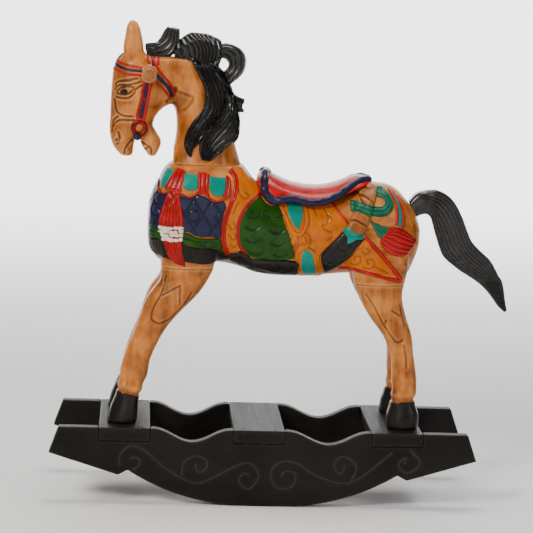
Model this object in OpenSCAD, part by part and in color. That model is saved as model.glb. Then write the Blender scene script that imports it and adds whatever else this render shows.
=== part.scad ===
// Rocking horse in carved wood on a pair of board-tied rockers.
// Millimetres. +Z is up, the horse looks along -X and its left side faces -Y.
// The origin is on the floor, under the middle of the rockers.

/* [Overall] */
// Height from the floor to the tips of the ears
overall_height = 920; // [760:10:1110]
// Length of each rocker, toe to toe
rocker_length = 824; // [740:4:1000]
// Width over the outer faces of the two rockers
base_width = 280; // [240:2:340]

/* [Base] */
// Height of the rockers' top edge above the floor
base_height = 148; // [130:1:175]
// Thickness of each rocker board
rocker_thickness = 25; // [20:1:32]
// Thickness of the three cross boards
board_thickness = 26; // [18:1:32]
// Width of each cross board along the horse
board_width = 99; // [90:1:110]
// Length of the flat that each rocker rests on
rest_flat = 64; // [40:2:90]
// Rise of the rocking curve from the rest flat to the stop notch
curve_rise = 66; // [50:1:72]
// Depth of the two wave-shaped dips in each rocker's top edge
dip_depth = 25; // [10:1:26]

/* [Horse] */
// Width of the body over the haunches
body_width = 176; // [140:2:214]
// Width of the head over the cheeks
head_width = 84; // [70:2:100]
// Distance between the middles of a pair of hooves
hoof_spacing = 150; // [130:2:164]
// Width across each hoof
hoof_width = 56; // [46:2:66]

/* [Grips] */
// Diameter of the two turned hand grips
grip_diameter = 28; // [22:1:32]
// Free length of each hand grip
grip_length = 70; // [55:1:85]

/* [Joinery] */
// Diameter of the glued dowels
dowel_diameter = 18; // [12:1:20]
// Length of the glued dowels
dowel_length = 60; // [40:2:72]
// Shank diameter of the wood screws
screw_diameter = 4.4; // [3.4:0.1:5.4]
// Length of the wood screws
screw_length = 58; // [46:1:66]
// Gap all round a dowel, a tenon or a screw
fit_gap = 0.1; // [0.05:0.05:0.3]

/* [Hidden] */
$fn = 48;

WOOD = [0.77, 0.51, 0.28];
BLACK = [0.14, 0.13, 0.13];
BASE_PAINT = [0.12, 0.11, 0.1];
RED = [0.84, 0.22, 0.2];
STEEL = [0.6, 0.6, 0.62];
DOWEL = [0.86, 0.72, 0.5];

// The horse is drawn at this size, hooves at z = 0, and scaled to the height asked for
DRAWN_HEIGHT = 772;
horse_scale = (overall_height - base_height) / DRAWN_HEIGHT;
seat_gap = 0.3;          // between curved faces that touch

// ---- Base -------------------------------------------------------------------------------

half_length = rocker_length / 2;
toe_rise = base_height - 51;           // underside of the toe's tip
top_corner = half_length - 18;         // where the top edge ends
stop_x = half_length * 0.631;          // where the rocking curve ends in the stop notch
stop_block = [half_length * 0.675, curve_rise - 10];
curve_run = stop_x - rest_flat / 2;
curve_radius = (curve_run * curve_run + curve_rise * curve_rise) / (2 * curve_rise);
rocker_y = (base_width - rocker_thickness) / 2;
board_z = base_height - board_thickness;

front_board_x = -268 * horse_scale;
middle_board_x = -9;
rear_board_x = 258 * horse_scale;
board_places = [front_board_x, middle_board_x, rear_board_x];
dip_gap = 5;                           // level edge left beside each board
dip_steps = 24;

screw_head = screw_diameter * 2;       // countersunk head
head_depth = screw_head / 4;
board_screw_dx = 30;                   // each side of a board's middle
hoof_screw_dx = 13;                    // each side of a hoof's middle
fore_hoof_x = -273 * horse_scale;
hind_hoof_x = 271 * horse_scale;
hoof_y = hoof_spacing / 2 * horse_scale;

// One point of a dip's wave: t runs from 0 at its front end to 1 at its rear end
function dip_point(x0, x1, t) =
    [x0 + (x1 - x0) * t, base_height - dip_depth * (1 - cos(360 * t)) / 2];

module dip(x0, x1) {
    polygon([for (i = [0:dip_steps]) dip_point(x0, x1, i / dip_steps)]);
}

module rocker_outline() {
    difference() {
        union() {
            polygon([
                [-top_corner, base_height], [-half_length, toe_rise],
                [-stop_block[0], stop_block[1]], [-stop_x, curve_rise],
                [stop_x, curve_rise], [stop_block[0], stop_block[1]],
                [half_length, toe_rise], [top_corner, base_height]
            ]);
            translate([-rest_flat / 2, 0])
                square([rest_flat, curve_rise + 1]);
            for (side = [-1, 1])
                intersection() {
                    translate([side * rest_flat / 2, curve_radius])
                        circle(curve_radius, $fn = 180);
                    translate([side > 0 ? rest_flat / 2 : -stop_x, 0])
                        square([curve_run, curve_rise + 1]);
                }
        }
        dip(front_board_x + board_width / 2 + dip_gap, middle_board_x - board_width / 2 - dip_gap);
        dip(middle_board_x + board_width / 2 + dip_gap, rear_board_x - board_width / 2 - dip_gap);
    }
}

module rocker(side) {
    color(BASE_PAINT)
        difference() {
            translate([0, side * rocker_y + rocker_thickness / 2, 0])
                rotate([90, 0, 0])
                    linear_extrude(rocker_thickness)
                        rocker_outline();
            for (x = board_places)
                translate([x - board_width / 2, side * rocker_y - rocker_thickness, board_z])
                    cube([board_width, 2 * rocker_thickness, board_thickness + 1]);
            screw_places(side)
                screw(fit_gap);
        }
}

module board(x) {
    color(BASE_PAINT)
        difference() {
            translate([x - board_width / 2, -base_width / 2, board_z])
                cube([board_width, base_width, board_thickness]);
            for (side = [-1, 1]) {
                screw_places(side)
                    screw(fit_gap);
                hoof_screw_places(side)
                    screw(fit_gap);
            }
        }
}

// A countersunk wood screw, its head up at z = 0 and its shank pointing down
module screw(gap) {
    translate([0, 0, -screw_length - gap])
        cylinder(d = screw_diameter + 2 * gap, h = screw_length + gap);
    translate([0, 0, -head_depth - gap])
        cylinder(d1 = screw_diameter + 2 * gap, d2 = screw_head + 2 * gap, h = head_depth + gap);
}

module screw_places(side) {
    for (x = board_places, dx = [-board_screw_dx, board_screw_dx])
        translate([x + dx, side * rocker_y, base_height])
            children();
}

// These go in from below, through the board and up into the hoof
module hoof_screw_places(side) {
    for (x = [fore_hoof_x, hind_hoof_x], dx = [-hoof_screw_dx, hoof_screw_dx])
        translate([x + dx, side * hoof_y, board_z])
            mirror([0, 0, 1])
                children();
}

module screws_at(head_up) {
    color(STEEL)
        for (side = [-1, 1])
            if (head_up)
                screw_places(side)
                    screw(0);
            else
                hoof_screw_places(side)
                    screw(0);
}

// ---- Carved blocks ----------------------------------------------------------------------

// Every carved block is a row of stations. A station is one slice across the wood:
// [x and z of its first edge, x and z of its second edge, y of its middle, half its width].
// The slice is a rounded outline through the two edges, and the block blends through them all.

half_body = body_width / 2;
half_head = head_width / 2;

function blend(a, b, c, d, t) =
    0.5 * (2 * b + (c - a) * t + (2 * a - 5 * b + 4 * c - d) * t * t
        + (3 * b - a - 3 * c + d) * t * t * t);

// The same stations with extra ones blended in between
function blended(row, steps) =
    let (last = len(row) - 1)
    concat([for (i = [0:last - 1], j = [0:steps - 1])
        blend(row[max(i - 1, 0)], row[i], row[i + 1], row[min(i + 2, last)], j / steps)],
        [row[last]]);

function power_of(value, e) = sign(value) * pow(abs(value), e);

// One slice as points. A roundness of 2 is an ellipse, and more is squarer
function slice(s, sides, roundness, grow) =
    let (middle = [s[0] + s[2], s[1] + s[3]] / 2,
        reach = [s[2] - s[0], s[3] - s[1]] / 2,
        along = reach / norm(reach))
    [for (i = [0:sides - 1])
        let (p = (norm(reach) + grow) * power_of(cos(360 * i / sides), 2 / roundness),
            q = (s[5] + grow) * power_of(sin(360 * i / sides), 2 / roundness))
        [middle[0] + along[0] * p, s[4] + q, middle[1] + along[1] * p]];

module carved(row, sides = 24, roundness = 2.3, steps = 2, grow = 0) {
    stations = blended(row, steps);
    last = len(stations) - 1;
    points = [for (s = stations) each slice(s, sides, roundness, grow)];
    step = [stations[1][0] + stations[1][2] - stations[0][0] - stations[0][2],
        stations[1][1] + stations[1][3] - stations[0][1] - stations[0][3]];
    edge = [row[0][2] - row[0][0], row[0][3] - row[0][1]];
    forward = step[1] * edge[0] - step[0] * edge[1] > 0;
    walls = [for (i = [0:last - 1], j = [0:sides - 1])
        let (k = (j + 1) % sides, a = i * sides + j, b = i * sides + k)
        each [[a, b, b + sides], [a, b + sides, a + sides]]];
    ends = [[for (j = [sides - 1:-1:0]) j], [for (j = [0:sides - 1]) last * sides + j]];
    faces = concat(walls, ends);
    polyhedron(points, forward ? [for (f = faces) [for (j = [len(f) - 1:-1:0]) f[j]]] : faces);
}

// A closed smooth outline through a few points
function rounded_outline(row, steps = 4) =
    let (count = len(row))
    [for (i = [0:count - 1], j = [0:steps - 1])
        blend(row[(i + count - 1) % count], row[i], row[(i + 1) % count],
            row[(i + 2) % count], j / steps)];

// An outline drawn from the side, given a thickness across the horse
module from_side(low_y, high_y) {
    translate([0, high_y, 0])
        rotate([90, 0, 0])
            linear_extrude(high_y - low_y)
                children();
}

module on_boards() {
    translate([0, 0, base_height])
        scale(horse_scale)
            children();
}

// Flat glue joints between the blocks, as heights above the boards
NECK_JOINT = 500;
FORE_JOINT = 301;
HIND_JOINT = 279;
HEAD_JOINT_X = -188;
POLL_TOP = 704;
BIG = 1000;

// ---- Body -------------------------------------------------------------------------------

// First edge on the back, second edge on the belly
body_row = [
    [-231, 400, -231, 364, 0, 0.38 * half_body],
    [-228, 430, -228, 336, 0, 0.64 * half_body],
    [-214, 464, -213, 311, 0, 0.8 * half_body],
    [-192, 504, -188, 304, 0, 0.89 * half_body],
    [-150, 520, -150, 304, 0, 0.94 * half_body],
    [-100, 520, -100, 308, 0, 0.95 * half_body],
    [-58, 507, -58, 301, 0, 0.95 * half_body],
    [-28, 470, -25, 292, 0, 0.95 * half_body],
    [8, 451, 10, 287, 0, 0.96 * half_body],
    [60, 446, 60, 285, 0, 0.97 * half_body],
    [110, 446, 110, 288, 0, 0.99 * half_body],
    [156, 454, 152, 293, 0, half_body],
    [204, 472, 195, 292, 0, half_body],
    [240, 467, 235, 283, 0, 0.94 * half_body],
    [264, 448, 259, 282, 0, 0.8 * half_body],
    [286, 420, 279, 298, 0, 0.58 * half_body],
    [299, 386, 297, 344, 0, 0.27 * half_body]
];

leg_y = 0.56 * half_body;
leg_half = 0.42 * half_body;

// Shoulder and hip, cut level where the legs are glued on
shoulder_row = [
    [-207, FORE_JOINT, -103, FORE_JOINT, leg_y, leg_half],
    [-206, FORE_JOINT + 35, -98, FORE_JOINT + 35, leg_y, leg_half],
    [-195, FORE_JOINT + 90, -100, FORE_JOINT + 90, leg_y, 0.8 * leg_half]
];
hip_row = [
    [168, HIND_JOINT, 268, HIND_JOINT, leg_y, leg_half],
    [163, HIND_JOINT + 35, 275, HIND_JOINT + 35, leg_y, leg_half],
    [165, HIND_JOINT + 95, 272, HIND_JOINT + 95, leg_y, 0.8 * leg_half]
];

tail_root = [292, 0, 428];
tail_tilt = -70;                       // lean of the tail's tenon from upright
tenon_diameter = 18;
tenon_length = 34;
tenon_start = 12;                      // how far the tenon starts inside the tail

module tail_tenon(gap) {
    translate(tail_root)
        rotate([0, tail_tilt, 0])
            translate([0, 0, -tenon_start])
                cylinder(d = tenon_diameter + 2 * gap, h = tenon_length + tenon_start + gap);
}

module body_block() {
    on_boards()
        color(WOOD)
            difference() {
                union() {
                    intersection() {
                        carved(body_row, 28, 2.35, 2);
                        translate([-BIG, -BIG, NECK_JOINT - 2 * BIG])
                            cube(2 * BIG);
                    }
                    for (flip = [0, 1])
                        mirror([0, flip, 0]) {
                            carved(shoulder_row, 20, 2.6, 1);
                            carved(hip_row, 20, 2.6, 1);
                        }
                }
                leg_dowel_places()
                    dowel(fit_gap);
                neck_dowel_places()
                    dowel(fit_gap);
                tail_tenon(fit_gap);
            }
}

// ---- Legs -------------------------------------------------------------------------------

hoof_half = hoof_width / 2;
hoof_middle = hoof_spacing / 2;
knee_half = 0.86 * hoof_half;
cannon_half = 0.72 * hoof_half;

// First edge in front, second edge behind, from the joint down to the hoof
fore_leg_row = [
    [-207, FORE_JOINT, -103, FORE_JOINT, leg_y, leg_half],
    [-208, 276, -113, 280, leg_y + 2, 0.95 * leg_half],
    [-229, 249, -131, 252, leg_y + 6, 0.86 * leg_half],
    [-243, 215, -160, 222, leg_y + 10, 0.76 * leg_half],
    [-253, 184, -190, 188, (leg_y + hoof_middle) / 2 + 4, knee_half],
    [-264, 156, -208, 156, hoof_middle - 6, knee_half],
    [-275, 124, -222, 122, hoof_middle - 3, cannon_half],
    [-282, 90, -227, 88, hoof_middle - 1, cannon_half],
    [-283, 66, -240, 60, hoof_middle, 0.8 * hoof_half],
    [-297, 30, -243, 28, hoof_middle, 0.93 * hoof_half],
    [-304, 0, -244, 0, hoof_middle, hoof_half]
];
hind_leg_row = [
    [168, HIND_JOINT, 268, HIND_JOINT, leg_y, leg_half],
    [180, 250, 264, 255, leg_y + 2, 0.94 * leg_half],
    [203, 212, 274, 214, leg_y + 6, 0.82 * leg_half],
    [228, 180, 285, 182, (leg_y + hoof_middle) / 2, 0.68 * leg_half],
    [244, 144, 290, 142, hoof_middle - 8, cannon_half],
    [247, 110, 295, 112, hoof_middle - 4, cannon_half],
    [247, 82, 299, 80, hoof_middle - 1, 0.78 * hoof_half],
    [250, 60, 292, 58, hoof_middle, 0.78 * hoof_half],
    [240, 28, 304, 28, hoof_middle, 0.93 * hoof_half],
    [240, 0, 303, 0, hoof_middle, hoof_half]
];

module leg(row, flip) {
    color(WOOD)
        difference() {
            on_boards()
                mirror([0, flip, 0])
                    carved(row, 20, 2.6, 2);
            on_boards()
                leg_dowel_places()
                    dowel(fit_gap);
            hoof_screw_places(flip == 1 ? -1 : 1)
                screw(fit_gap);
        }
}

// ---- Neck and head ----------------------------------------------------------------------

// First edge at the throat, second edge at the mane
neck_row = [
    [-200, NECK_JOINT, -56, NECK_JOINT, 0, 1.42 * half_head],
    [-188, 533, -66, 532, 0, 1.24 * half_head],
    [-184, 567, -76, 560, 0, 1.08 * half_head],
    [-186, 597, -90, 592, 0, half_head],
    [-200, 627, -104, 620, 0, 0.95 * half_head],
    [-205, 657, -117, 652, 0, 0.9 * half_head],
    [-205, 687, -134, 682, 0, 0.8 * half_head],
    [-200, 716, -158, 716, 0, 0.62 * half_head]
];

// First edge on the face, second edge under the jaw
head_row = [
    [-288, 510, -270, 509, 0, 0.3 * half_head],
    [-302, 524, -265, 517, 0, 0.52 * half_head],
    [-311, 545, -262, 543, 0, 0.64 * half_head],
    [-313, 567, -232, 563, 0, 0.66 * half_head],
    [-312, 592, -226, 584, 0, 0.72 * half_head],
    [-312, 617, -208, 606, 0, 0.82 * half_head],
    [-311, 647, -182, 620, 0, 0.96 * half_head],
    [-308, 677, -176, 657, 0, half_head],
    [-301, 699, -176, 690, 0, 0.9 * half_head],
    [-290, 716, -180, 716, 0, 0.76 * half_head]
];
jaw_row = [
    [-258, 566, -232, 576, 0, 0.56 * half_head],
    [-254, 548, -218, 553, 0, 0.55 * half_head],
    [-252, 536, -211, 541, 0, 0.5 * half_head],
    [-247, 526, -213, 529, 0, 0.44 * half_head],
    [-240, 517, -218, 518, 0, 0.34 * half_head],
    [-235, 510, -223, 510, 0, 0.2 * half_head]
];

grip_place = [-239, 672];              // x and height of both grips' axis
boss_diameter = grip_diameter + 6;
boss_y = half_head + 3;
grip_tenon_diameter = grip_diameter * 0.7;
grip_tenon_length = 22;

module neck_block() {
    on_boards()
        color(WOOD)
            difference() {
                neck_shape(0);
                neck_dowel_places()
                    dowel(fit_gap);
                head_dowel_places()
                    dowel(fit_gap);
            }
}

module neck_shape(grow) {
    intersection() {
        carved(neck_row, 24, 2.3, 2, grow);
        translate([HEAD_JOINT_X - grow, -BIG / 2, POLL_TOP + grow - BIG])
            cube(BIG);
    }
}

module head_block() {
    on_boards()
        color(WOOD)
            difference() {
                union() {
                    intersection() {
                        carved(head_row, 24, 2.4, 2);
                        translate([HEAD_JOINT_X - BIG, -BIG / 2, POLL_TOP - BIG])
                            cube(BIG);
                    }
                    carved(jaw_row, 16, 2.4, 2);
                    translate([grip_place[0], boss_y, grip_place[1]])
                        rotate([90, 0, 0])
                            cylinder(d = boss_diameter, h = 2 * boss_y);
                }
                head_dowel_places()
                    dowel(fit_gap);
                for (flip = [0, 1])
                    mirror([0, flip, 0])
                        grip_tenon(fit_gap);
            }
}

module grip_tenon(gap) {
    translate([grip_place[0], boss_y + 1, grip_place[1]])
        rotate([90, 0, 0])
            cylinder(d = grip_tenon_diameter + 2 * gap, h = grip_tenon_length + 1 + gap);
}

module grip(flip) {
    on_boards()
        color(WOOD)
            mirror([0, flip, 0]) {
                grip_tenon(0);
                translate([grip_place[0], boss_y + grip_length, grip_place[1]])
                    rotate([90, 0, 0])
                        cylinder(d = grip_diameter, h = grip_length);
            }
}

ear_y = 0.52 * half_head;
ear_row = [
    [-291, POLL_TOP, -247, POLL_TOP, ear_y, 0.33 * half_head],
    [-290, 722, -250, 724, ear_y, 0.36 * half_head],
    [-286, 740, -254, 742, ear_y + 1, 0.32 * half_head],
    [-284, 758, -258, 758, ear_y + 2, 0.22 * half_head],
    [-280, 768, -264, 768, ear_y + 2, 0.12 * half_head],
    [-274, DRAWN_HEIGHT, -271, DRAWN_HEIGHT, ear_y + 2, 0.04 * half_head]
];

module ear(flip) {
    on_boards()
        color(WOOD)
            mirror([0, flip, 0])
                carved(ear_row, 14, 2, 2);
}

// ---- Mane -------------------------------------------------------------------------------

lock_half = 16;                        // half the thickness of the locks on the poll
loop_half = 11;
tuft_half = 9;
CREST_END_X = -104;                    // where the crest's lock meets the loop

// First edge in front, second edge behind: the shell that hangs over both sides of the neck
mane_row = [
    [-126, 504, -112, 504, 0, 1.28 * half_head],
    [-154, 528, -80, 532, 0, 1.46 * half_head],
    [-156, 556, -63, 560, 0, 1.4 * half_head],
    [-143, 597, -66, 600, 0, 1.28 * half_head],
    [-134, 632, -80, 636, 0, 1.2 * half_head],
    [-143, 664, -98, 668, 0, 1.1 * half_head],
    [-160, 690, -116, 692, 0, 0.98 * half_head]
];

forelock_outline = [
    [-246, POLL_TOP + 1], [-248, 722], [-232, 733], [-222, 746], [-209, 761], [-189, 761],
    [-188, 737], [-203, 716], [-214, POLL_TOP + 1]
];
crest_outline = [
    [-185, POLL_TOP + 1], [-187, 733], [-168, 748], [-152, 755], [-138, 750], [-122, 750],
    [-100, 740], [-96, 712], [-118, 696], [-143, 699], [-160, POLL_TOP + 1]
];
loop_outer = [
    [-112, 734], [-88, 735], [-62, 724], [-52, 709], [-55, 686], [-72, 666], [-88, 655],
    [-98, 668], [-112, 694]
];
loop_hole = [[-101, 706], [-88, 701], [-89, 687], [-100, 677], [-108, 690]];
tuft_outline = [[-86, 641], [-68, 636], [-51, 629], [-51, 606], [-66, 604], [-84, 618]];

module mane_shell(grow = 0) {
    carved(mane_row, 24, 3, 2, grow);
}

module side_mane(flip) {
    on_boards()
        color(BLACK)
            mirror([0, flip, 0])
                difference() {
                    mane_shell();
                    translate([-BIG / 2, -BIG, 0])
                        cube(BIG);
                    neck_shape(seat_gap);
                }
}

// Nothing of a lock reaches below the level top of the poll in front of x
module above_poll(x) {
    difference() {
        children();
        translate([x - BIG, -BIG / 2, POLL_TOP - BIG])
            cube(BIG);
    }
}

module forelock() {
    on_boards()
        color(BLACK)
            above_poll(HEAD_JOINT_X)
                from_side(-lock_half, lock_half)
                    polygon(rounded_outline(forelock_outline));
}

module mane_crest() {
    on_boards()
        color(BLACK)
            difference() {
                above_poll(-158)
                    from_side(-lock_half, lock_half)
                        polygon(rounded_outline(crest_outline));
                translate([CREST_END_X, -BIG / 2, 0])
                    cube(BIG);
                neck_shape(seat_gap);
                mane_shell(seat_gap);
            }
}

module mane_loop() {
    on_boards()
        color(BLACK)
            difference() {
                from_side(-loop_half, loop_half)
                    difference() {
                        polygon(rounded_outline(loop_outer));
                        polygon(rounded_outline(loop_hole));
                        translate([CREST_END_X - BIG, 0])
                            square(BIG);
                    }
                mane_shell(seat_gap);
            }
}

module mane_tuft() {
    on_boards()
        color(BLACK)
            difference() {
                from_side(-tuft_half, tuft_half)
                    polygon(rounded_outline(tuft_outline));
                mane_shell(seat_gap);
            }
}

// ---- Tail -------------------------------------------------------------------------------

// First edge above, second edge below, from the rump to the tip
tail_row = [
    [272, 440, 284, 402, 0, 14],
    [286, 451, 297, 409, 0, 19],
    [307, 458, 306, 411, 0, 22],
    [332, 457, 316, 406, 0, 23],
    [354, 447, 325, 390, 0, 24],
    [374, 421, 334, 366, 0, 25],
    [392, 382, 345, 338, 0, 26],
    [407, 356, 362, 318, 0, 26],
    [429, 334, 392, 296, 0, 24],
    [450, 308, 424, 276, 0, 20],
    [468, 277, 449, 250, 0, 14],
    [476, 246, 466, 230, 0, 8],
    [479, 224, 474, 220, 0, 3]
];

module tail() {
    on_boards()
        color(BLACK)
            union() {
                difference() {
                    carved(tail_row, 16, 2.2, 2);
                    carved(body_row, 28, 2.35, 2, seat_gap);
                }
                tail_tenon(0);
            }
}

// ---- Saddle -----------------------------------------------------------------------------

saddle_half = 0.86 * half_body;

// First edge on the seat, second edge inside the body
saddle_row = [
    [-24, 480, -24, 400, 0, 0.72 * saddle_half],
    [-10, 491, -10, 400, 0, 0.86 * saddle_half],
    [10, 483, 10, 400, 0, 0.95 * saddle_half],
    [44, 469, 44, 400, 0, saddle_half],
    [92, 463, 92, 400, 0, saddle_half],
    [131, 471, 131, 400, 0, 0.98 * saddle_half],
    [160, 484, 160, 400, 0, 0.9 * saddle_half],
    [184, 486, 184, 400, 0, 0.8 * saddle_half],
    [200, 477, 200, 400, 0, 0.6 * saddle_half]
];
saddle_side = [
    [-24, 500], [-26, 462], [-8, 434], [18, 430], [46, 436], [83, 429], [118, 436],
    [142, 449], [170, 462], [200, 474], [204, 500], [90, 520]
];

module saddle() {
    on_boards()
        color(RED)
            difference() {
                intersection() {
                    carved(saddle_row, 24, 2.1, 2);
                    from_side(-body_width, body_width)
                        polygon(rounded_outline(saddle_side, 3));
                }
                carved(body_row, 28, 2.35, 2, seat_gap);
            }
}

// ---- Hidden joinery ---------------------------------------------------------------------

// A dowel along Z, half of it on each side of the joint
module dowel(gap) {
    translate([0, 0, -dowel_length / 2 - gap])
        cylinder(d = dowel_diameter + 2 * gap, h = dowel_length + 2 * gap);
}

leg_dowel_dx = 19;                     // each side of a leg's middle
FORE_DOWEL_X = -154;
HIND_DOWEL_X = 221;
NECK_DOWEL_XS = [-160, -100];
HEAD_DOWEL_ZS = [637, 675];

module leg_dowel_places() {
    for (side = [-1, 1], dx = [-leg_dowel_dx, leg_dowel_dx]) {
        translate([FORE_DOWEL_X + dx, side * leg_y, FORE_JOINT])
            children();
        translate([HIND_DOWEL_X + dx, side * leg_y, HIND_JOINT])
            children();
    }
}

module neck_dowel_places() {
    for (x = NECK_DOWEL_XS)
        translate([x, 0, NECK_JOINT])
            children();
}

module head_dowel_places() {
    for (z = HEAD_DOWEL_ZS)
        translate([HEAD_JOINT_X, 0, z])
            rotate([0, 90, 0])
                children();
}

module dowels() {
    on_boards()
        color(DOWEL)
            children();
}

rocker(-1);  // left_rocker
rocker(1);  // right_rocker
board(front_board_x);  // front_board
board(middle_board_x);  // middle_board
board(rear_board_x);  // rear_board
screws_at(true);  // board_screws
body_block();
neck_block();
head_block();
ear(1);  // left_ear
ear(0);  // right_ear
grip(1);  // left_grip
grip(0);  // right_grip
forelock();
mane_crest();
mane_loop();
mane_tuft();
side_mane(1);  // left_mane
side_mane(0);  // right_mane
leg(fore_leg_row, 1);  // left_fore_leg
leg(fore_leg_row, 0);  // right_fore_leg
leg(hind_leg_row, 1);  // left_hind_leg
leg(hind_leg_row, 0);  // right_hind_leg
tail();
saddle();
dowels() leg_dowel_places() dowel(0);  // leg_dowels
dowels() neck_dowel_places() dowel(0);  // neck_dowels
dowels() head_dowel_places() dowel(0);  // head_dowels
screws_at(false);  // hoof_screws
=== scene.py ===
# %% [markdown]
# # A carved and painted rocking horse
# The frame below is the finished design: blocks of wood, joints and rockers at their true places.
# This lesson keeps every place as it is, apart from a slight lean of the right legs, and works on
# how the wood looks: carved, painted, rubbed.

# %% Load the frame
import math
import random

import bpy
import numpy as np
from mathutils import Matrix, Vector
from mathutils.bvhtree import BVHTree
from mathutils.geometry import delaunay_2d_cdt


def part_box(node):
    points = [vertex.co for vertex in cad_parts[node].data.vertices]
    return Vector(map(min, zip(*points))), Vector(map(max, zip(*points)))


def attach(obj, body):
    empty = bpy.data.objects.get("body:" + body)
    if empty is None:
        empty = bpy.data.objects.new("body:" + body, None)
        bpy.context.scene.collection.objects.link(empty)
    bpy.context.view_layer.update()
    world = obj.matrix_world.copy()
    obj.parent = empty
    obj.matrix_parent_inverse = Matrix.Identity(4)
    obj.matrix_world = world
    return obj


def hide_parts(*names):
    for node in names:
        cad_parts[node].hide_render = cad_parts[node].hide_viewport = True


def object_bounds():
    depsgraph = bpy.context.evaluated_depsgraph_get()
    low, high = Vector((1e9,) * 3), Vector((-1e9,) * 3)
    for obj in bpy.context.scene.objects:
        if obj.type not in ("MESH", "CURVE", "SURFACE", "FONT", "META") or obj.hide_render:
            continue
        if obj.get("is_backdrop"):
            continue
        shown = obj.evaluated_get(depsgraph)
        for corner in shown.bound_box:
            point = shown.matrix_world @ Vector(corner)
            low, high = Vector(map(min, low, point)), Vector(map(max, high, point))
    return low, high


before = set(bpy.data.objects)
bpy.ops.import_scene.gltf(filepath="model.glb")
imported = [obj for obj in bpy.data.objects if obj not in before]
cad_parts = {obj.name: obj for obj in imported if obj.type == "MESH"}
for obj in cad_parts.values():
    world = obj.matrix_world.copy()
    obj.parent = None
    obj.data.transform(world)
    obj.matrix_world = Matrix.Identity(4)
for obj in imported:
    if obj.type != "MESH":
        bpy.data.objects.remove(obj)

random.seed(7)
MM = 0.001
cad_low, cad_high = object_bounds()
print("pieces in the frame:", len(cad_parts), "box:", cad_low, cad_high)

# %% [markdown]
# ## Camera, floor and light
# A long lens, a little above the saddle, looks along the horse's left side.
# The floor is pale and plain, and big soft lamps stand around it as in a small studio.

# %% Camera
CAMERA_PLACE = Vector((-0.2545, -4.4253, 1.0712))
TURN = math.radians(3.306)
DOWN = math.radians(8.011)
ROLL = math.radians(1.987)
LENS = 154.28


def camera_axes(turn, down, roll):
    """Right, up and forward of a camera that looks along +Y, turned, tipped down and rolled."""
    ahead = Vector((math.sin(turn), math.cos(turn), 0))
    right = Vector((math.cos(turn), -math.sin(turn), 0))
    up = Vector((0, 0, 1))
    forward = ahead * math.cos(down) - up * math.sin(down)
    up = up * math.cos(down) + ahead * math.sin(down)
    rolled = right * math.cos(roll) + up * math.sin(roll)
    return rolled, up * math.cos(roll) - right * math.sin(roll), forward


right, up, forward = camera_axes(TURN, DOWN, ROLL)
camera = bpy.data.objects.new("camera", bpy.data.cameras.new("camera"))
camera.data.lens = LENS
camera.data.sensor_width = 36
camera.matrix_world = Matrix.Translation(CAMERA_PLACE) @ Matrix((right, up, -forward)).transposed().to_4x4()
bpy.context.scene.collection.objects.link(camera)
bpy.context.scene.camera = camera


# %% [markdown]
# A shiny carving wants large soft lamps, since their reflections stay soft as well. A warm key
# lamp models the forms, weaker ones open the shadows, and two light only the backdrop.

# %% Lamps
def lamp(name, place, aim, size, power, colour=(1, 1, 1)):
    light = bpy.data.lights.new(name, "AREA")
    light.shape = "DISK"
    light.size = size
    light.energy = power
    light.color = colour
    lamp_object = bpy.data.objects.new(name, light)
    lamp_object.location = place
    lamp_object.rotation_euler = (Vector(aim) - Vector(place)).to_track_quat("-Z", "Y").to_euler()
    bpy.context.scene.collection.objects.link(lamp_object)


middle = (cad_low + cad_high) / 2
lamp("key_lamp", (-2.0, -2.6, 2.5), middle, 1.1, 100, (1, 0.95, 0.87))
lamp("fill_lamp", (2.4, -2.6, 1.2), middle, 2.0, 22, (0.97, 0.98, 1))
lamp("top_lamp", (0.2, 0.2, 3.0), middle, 1.4, 55)
lamp("low_lamp", (-0.4, -3.4, 0.5), middle, 1.4, 10)
lamp("left_backdrop_lamp", (-3.0, 4.2, 3.6), (-1.0, 8.6, 1.0), 1.6, 620)
lamp("right_backdrop_lamp", (3.4, 4.2, 3.6), (1.4, 8.6, 1.0), 1.6, 620)

world = bpy.data.worlds.new("studio")
bpy.context.scene.world = world
world.use_nodes = True
world.node_tree.nodes["Background"].inputs["Color"].default_value = (1, 1, 1, 1)
world.node_tree.nodes["Background"].inputs["Strength"].default_value = 0.15
print("camera and lamps ready, lens:", LENS)


# %% [markdown]
# ## Small tools
# Each helper does one plain job: make a mesh, read its points, smooth it, or cut a groove.
# Working on whole arrays of points at once keeps every step quick.

# %% Mesh helpers
def mesh_object(name, points, faces):
    mesh = bpy.data.meshes.new(name)
    mesh.from_pydata([tuple(p) for p in points], [], faces)
    mesh.validate()
    mesh.update()
    made = bpy.data.objects.new(name, mesh)
    bpy.context.scene.collection.objects.link(made)
    mesh.shade_smooth()
    return made


def read(rows, name, width, kind=float):
    """One named value of every row of mesh data, as an array."""
    flat = np.empty(len(rows) * width, kind)
    rows.foreach_get(name, flat)
    return flat.reshape(-1, width)


def points_of(thing):
    return read(thing.data.vertices, "co", 3)


def normals_of(thing):
    return read(thing.data.vertex_normals, "vector", 3)


def edges_of(thing):
    return read(thing.data.edges, "vertices", 2, np.int32)


def set_points(thing, points):
    thing.data.vertices.foreach_set("co", np.ascontiguousarray(points).ravel())
    thing.data.update()


def gathered(things):
    """The points and faces of several meshes, numbered as one."""
    points, faces = [], []
    for thing in things:
        first = len(points)
        points.extend(v.co[:] for v in thing.data.vertices)
        faces.extend([first + i for i in p.vertices] for p in thing.data.polygons)
    return points, faces


def from_frame(name, *nodes):
    """One new mesh that copies some of the frame's nodes."""
    return mesh_object(name, *gathered([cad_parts[node] for node in nodes]))


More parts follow.
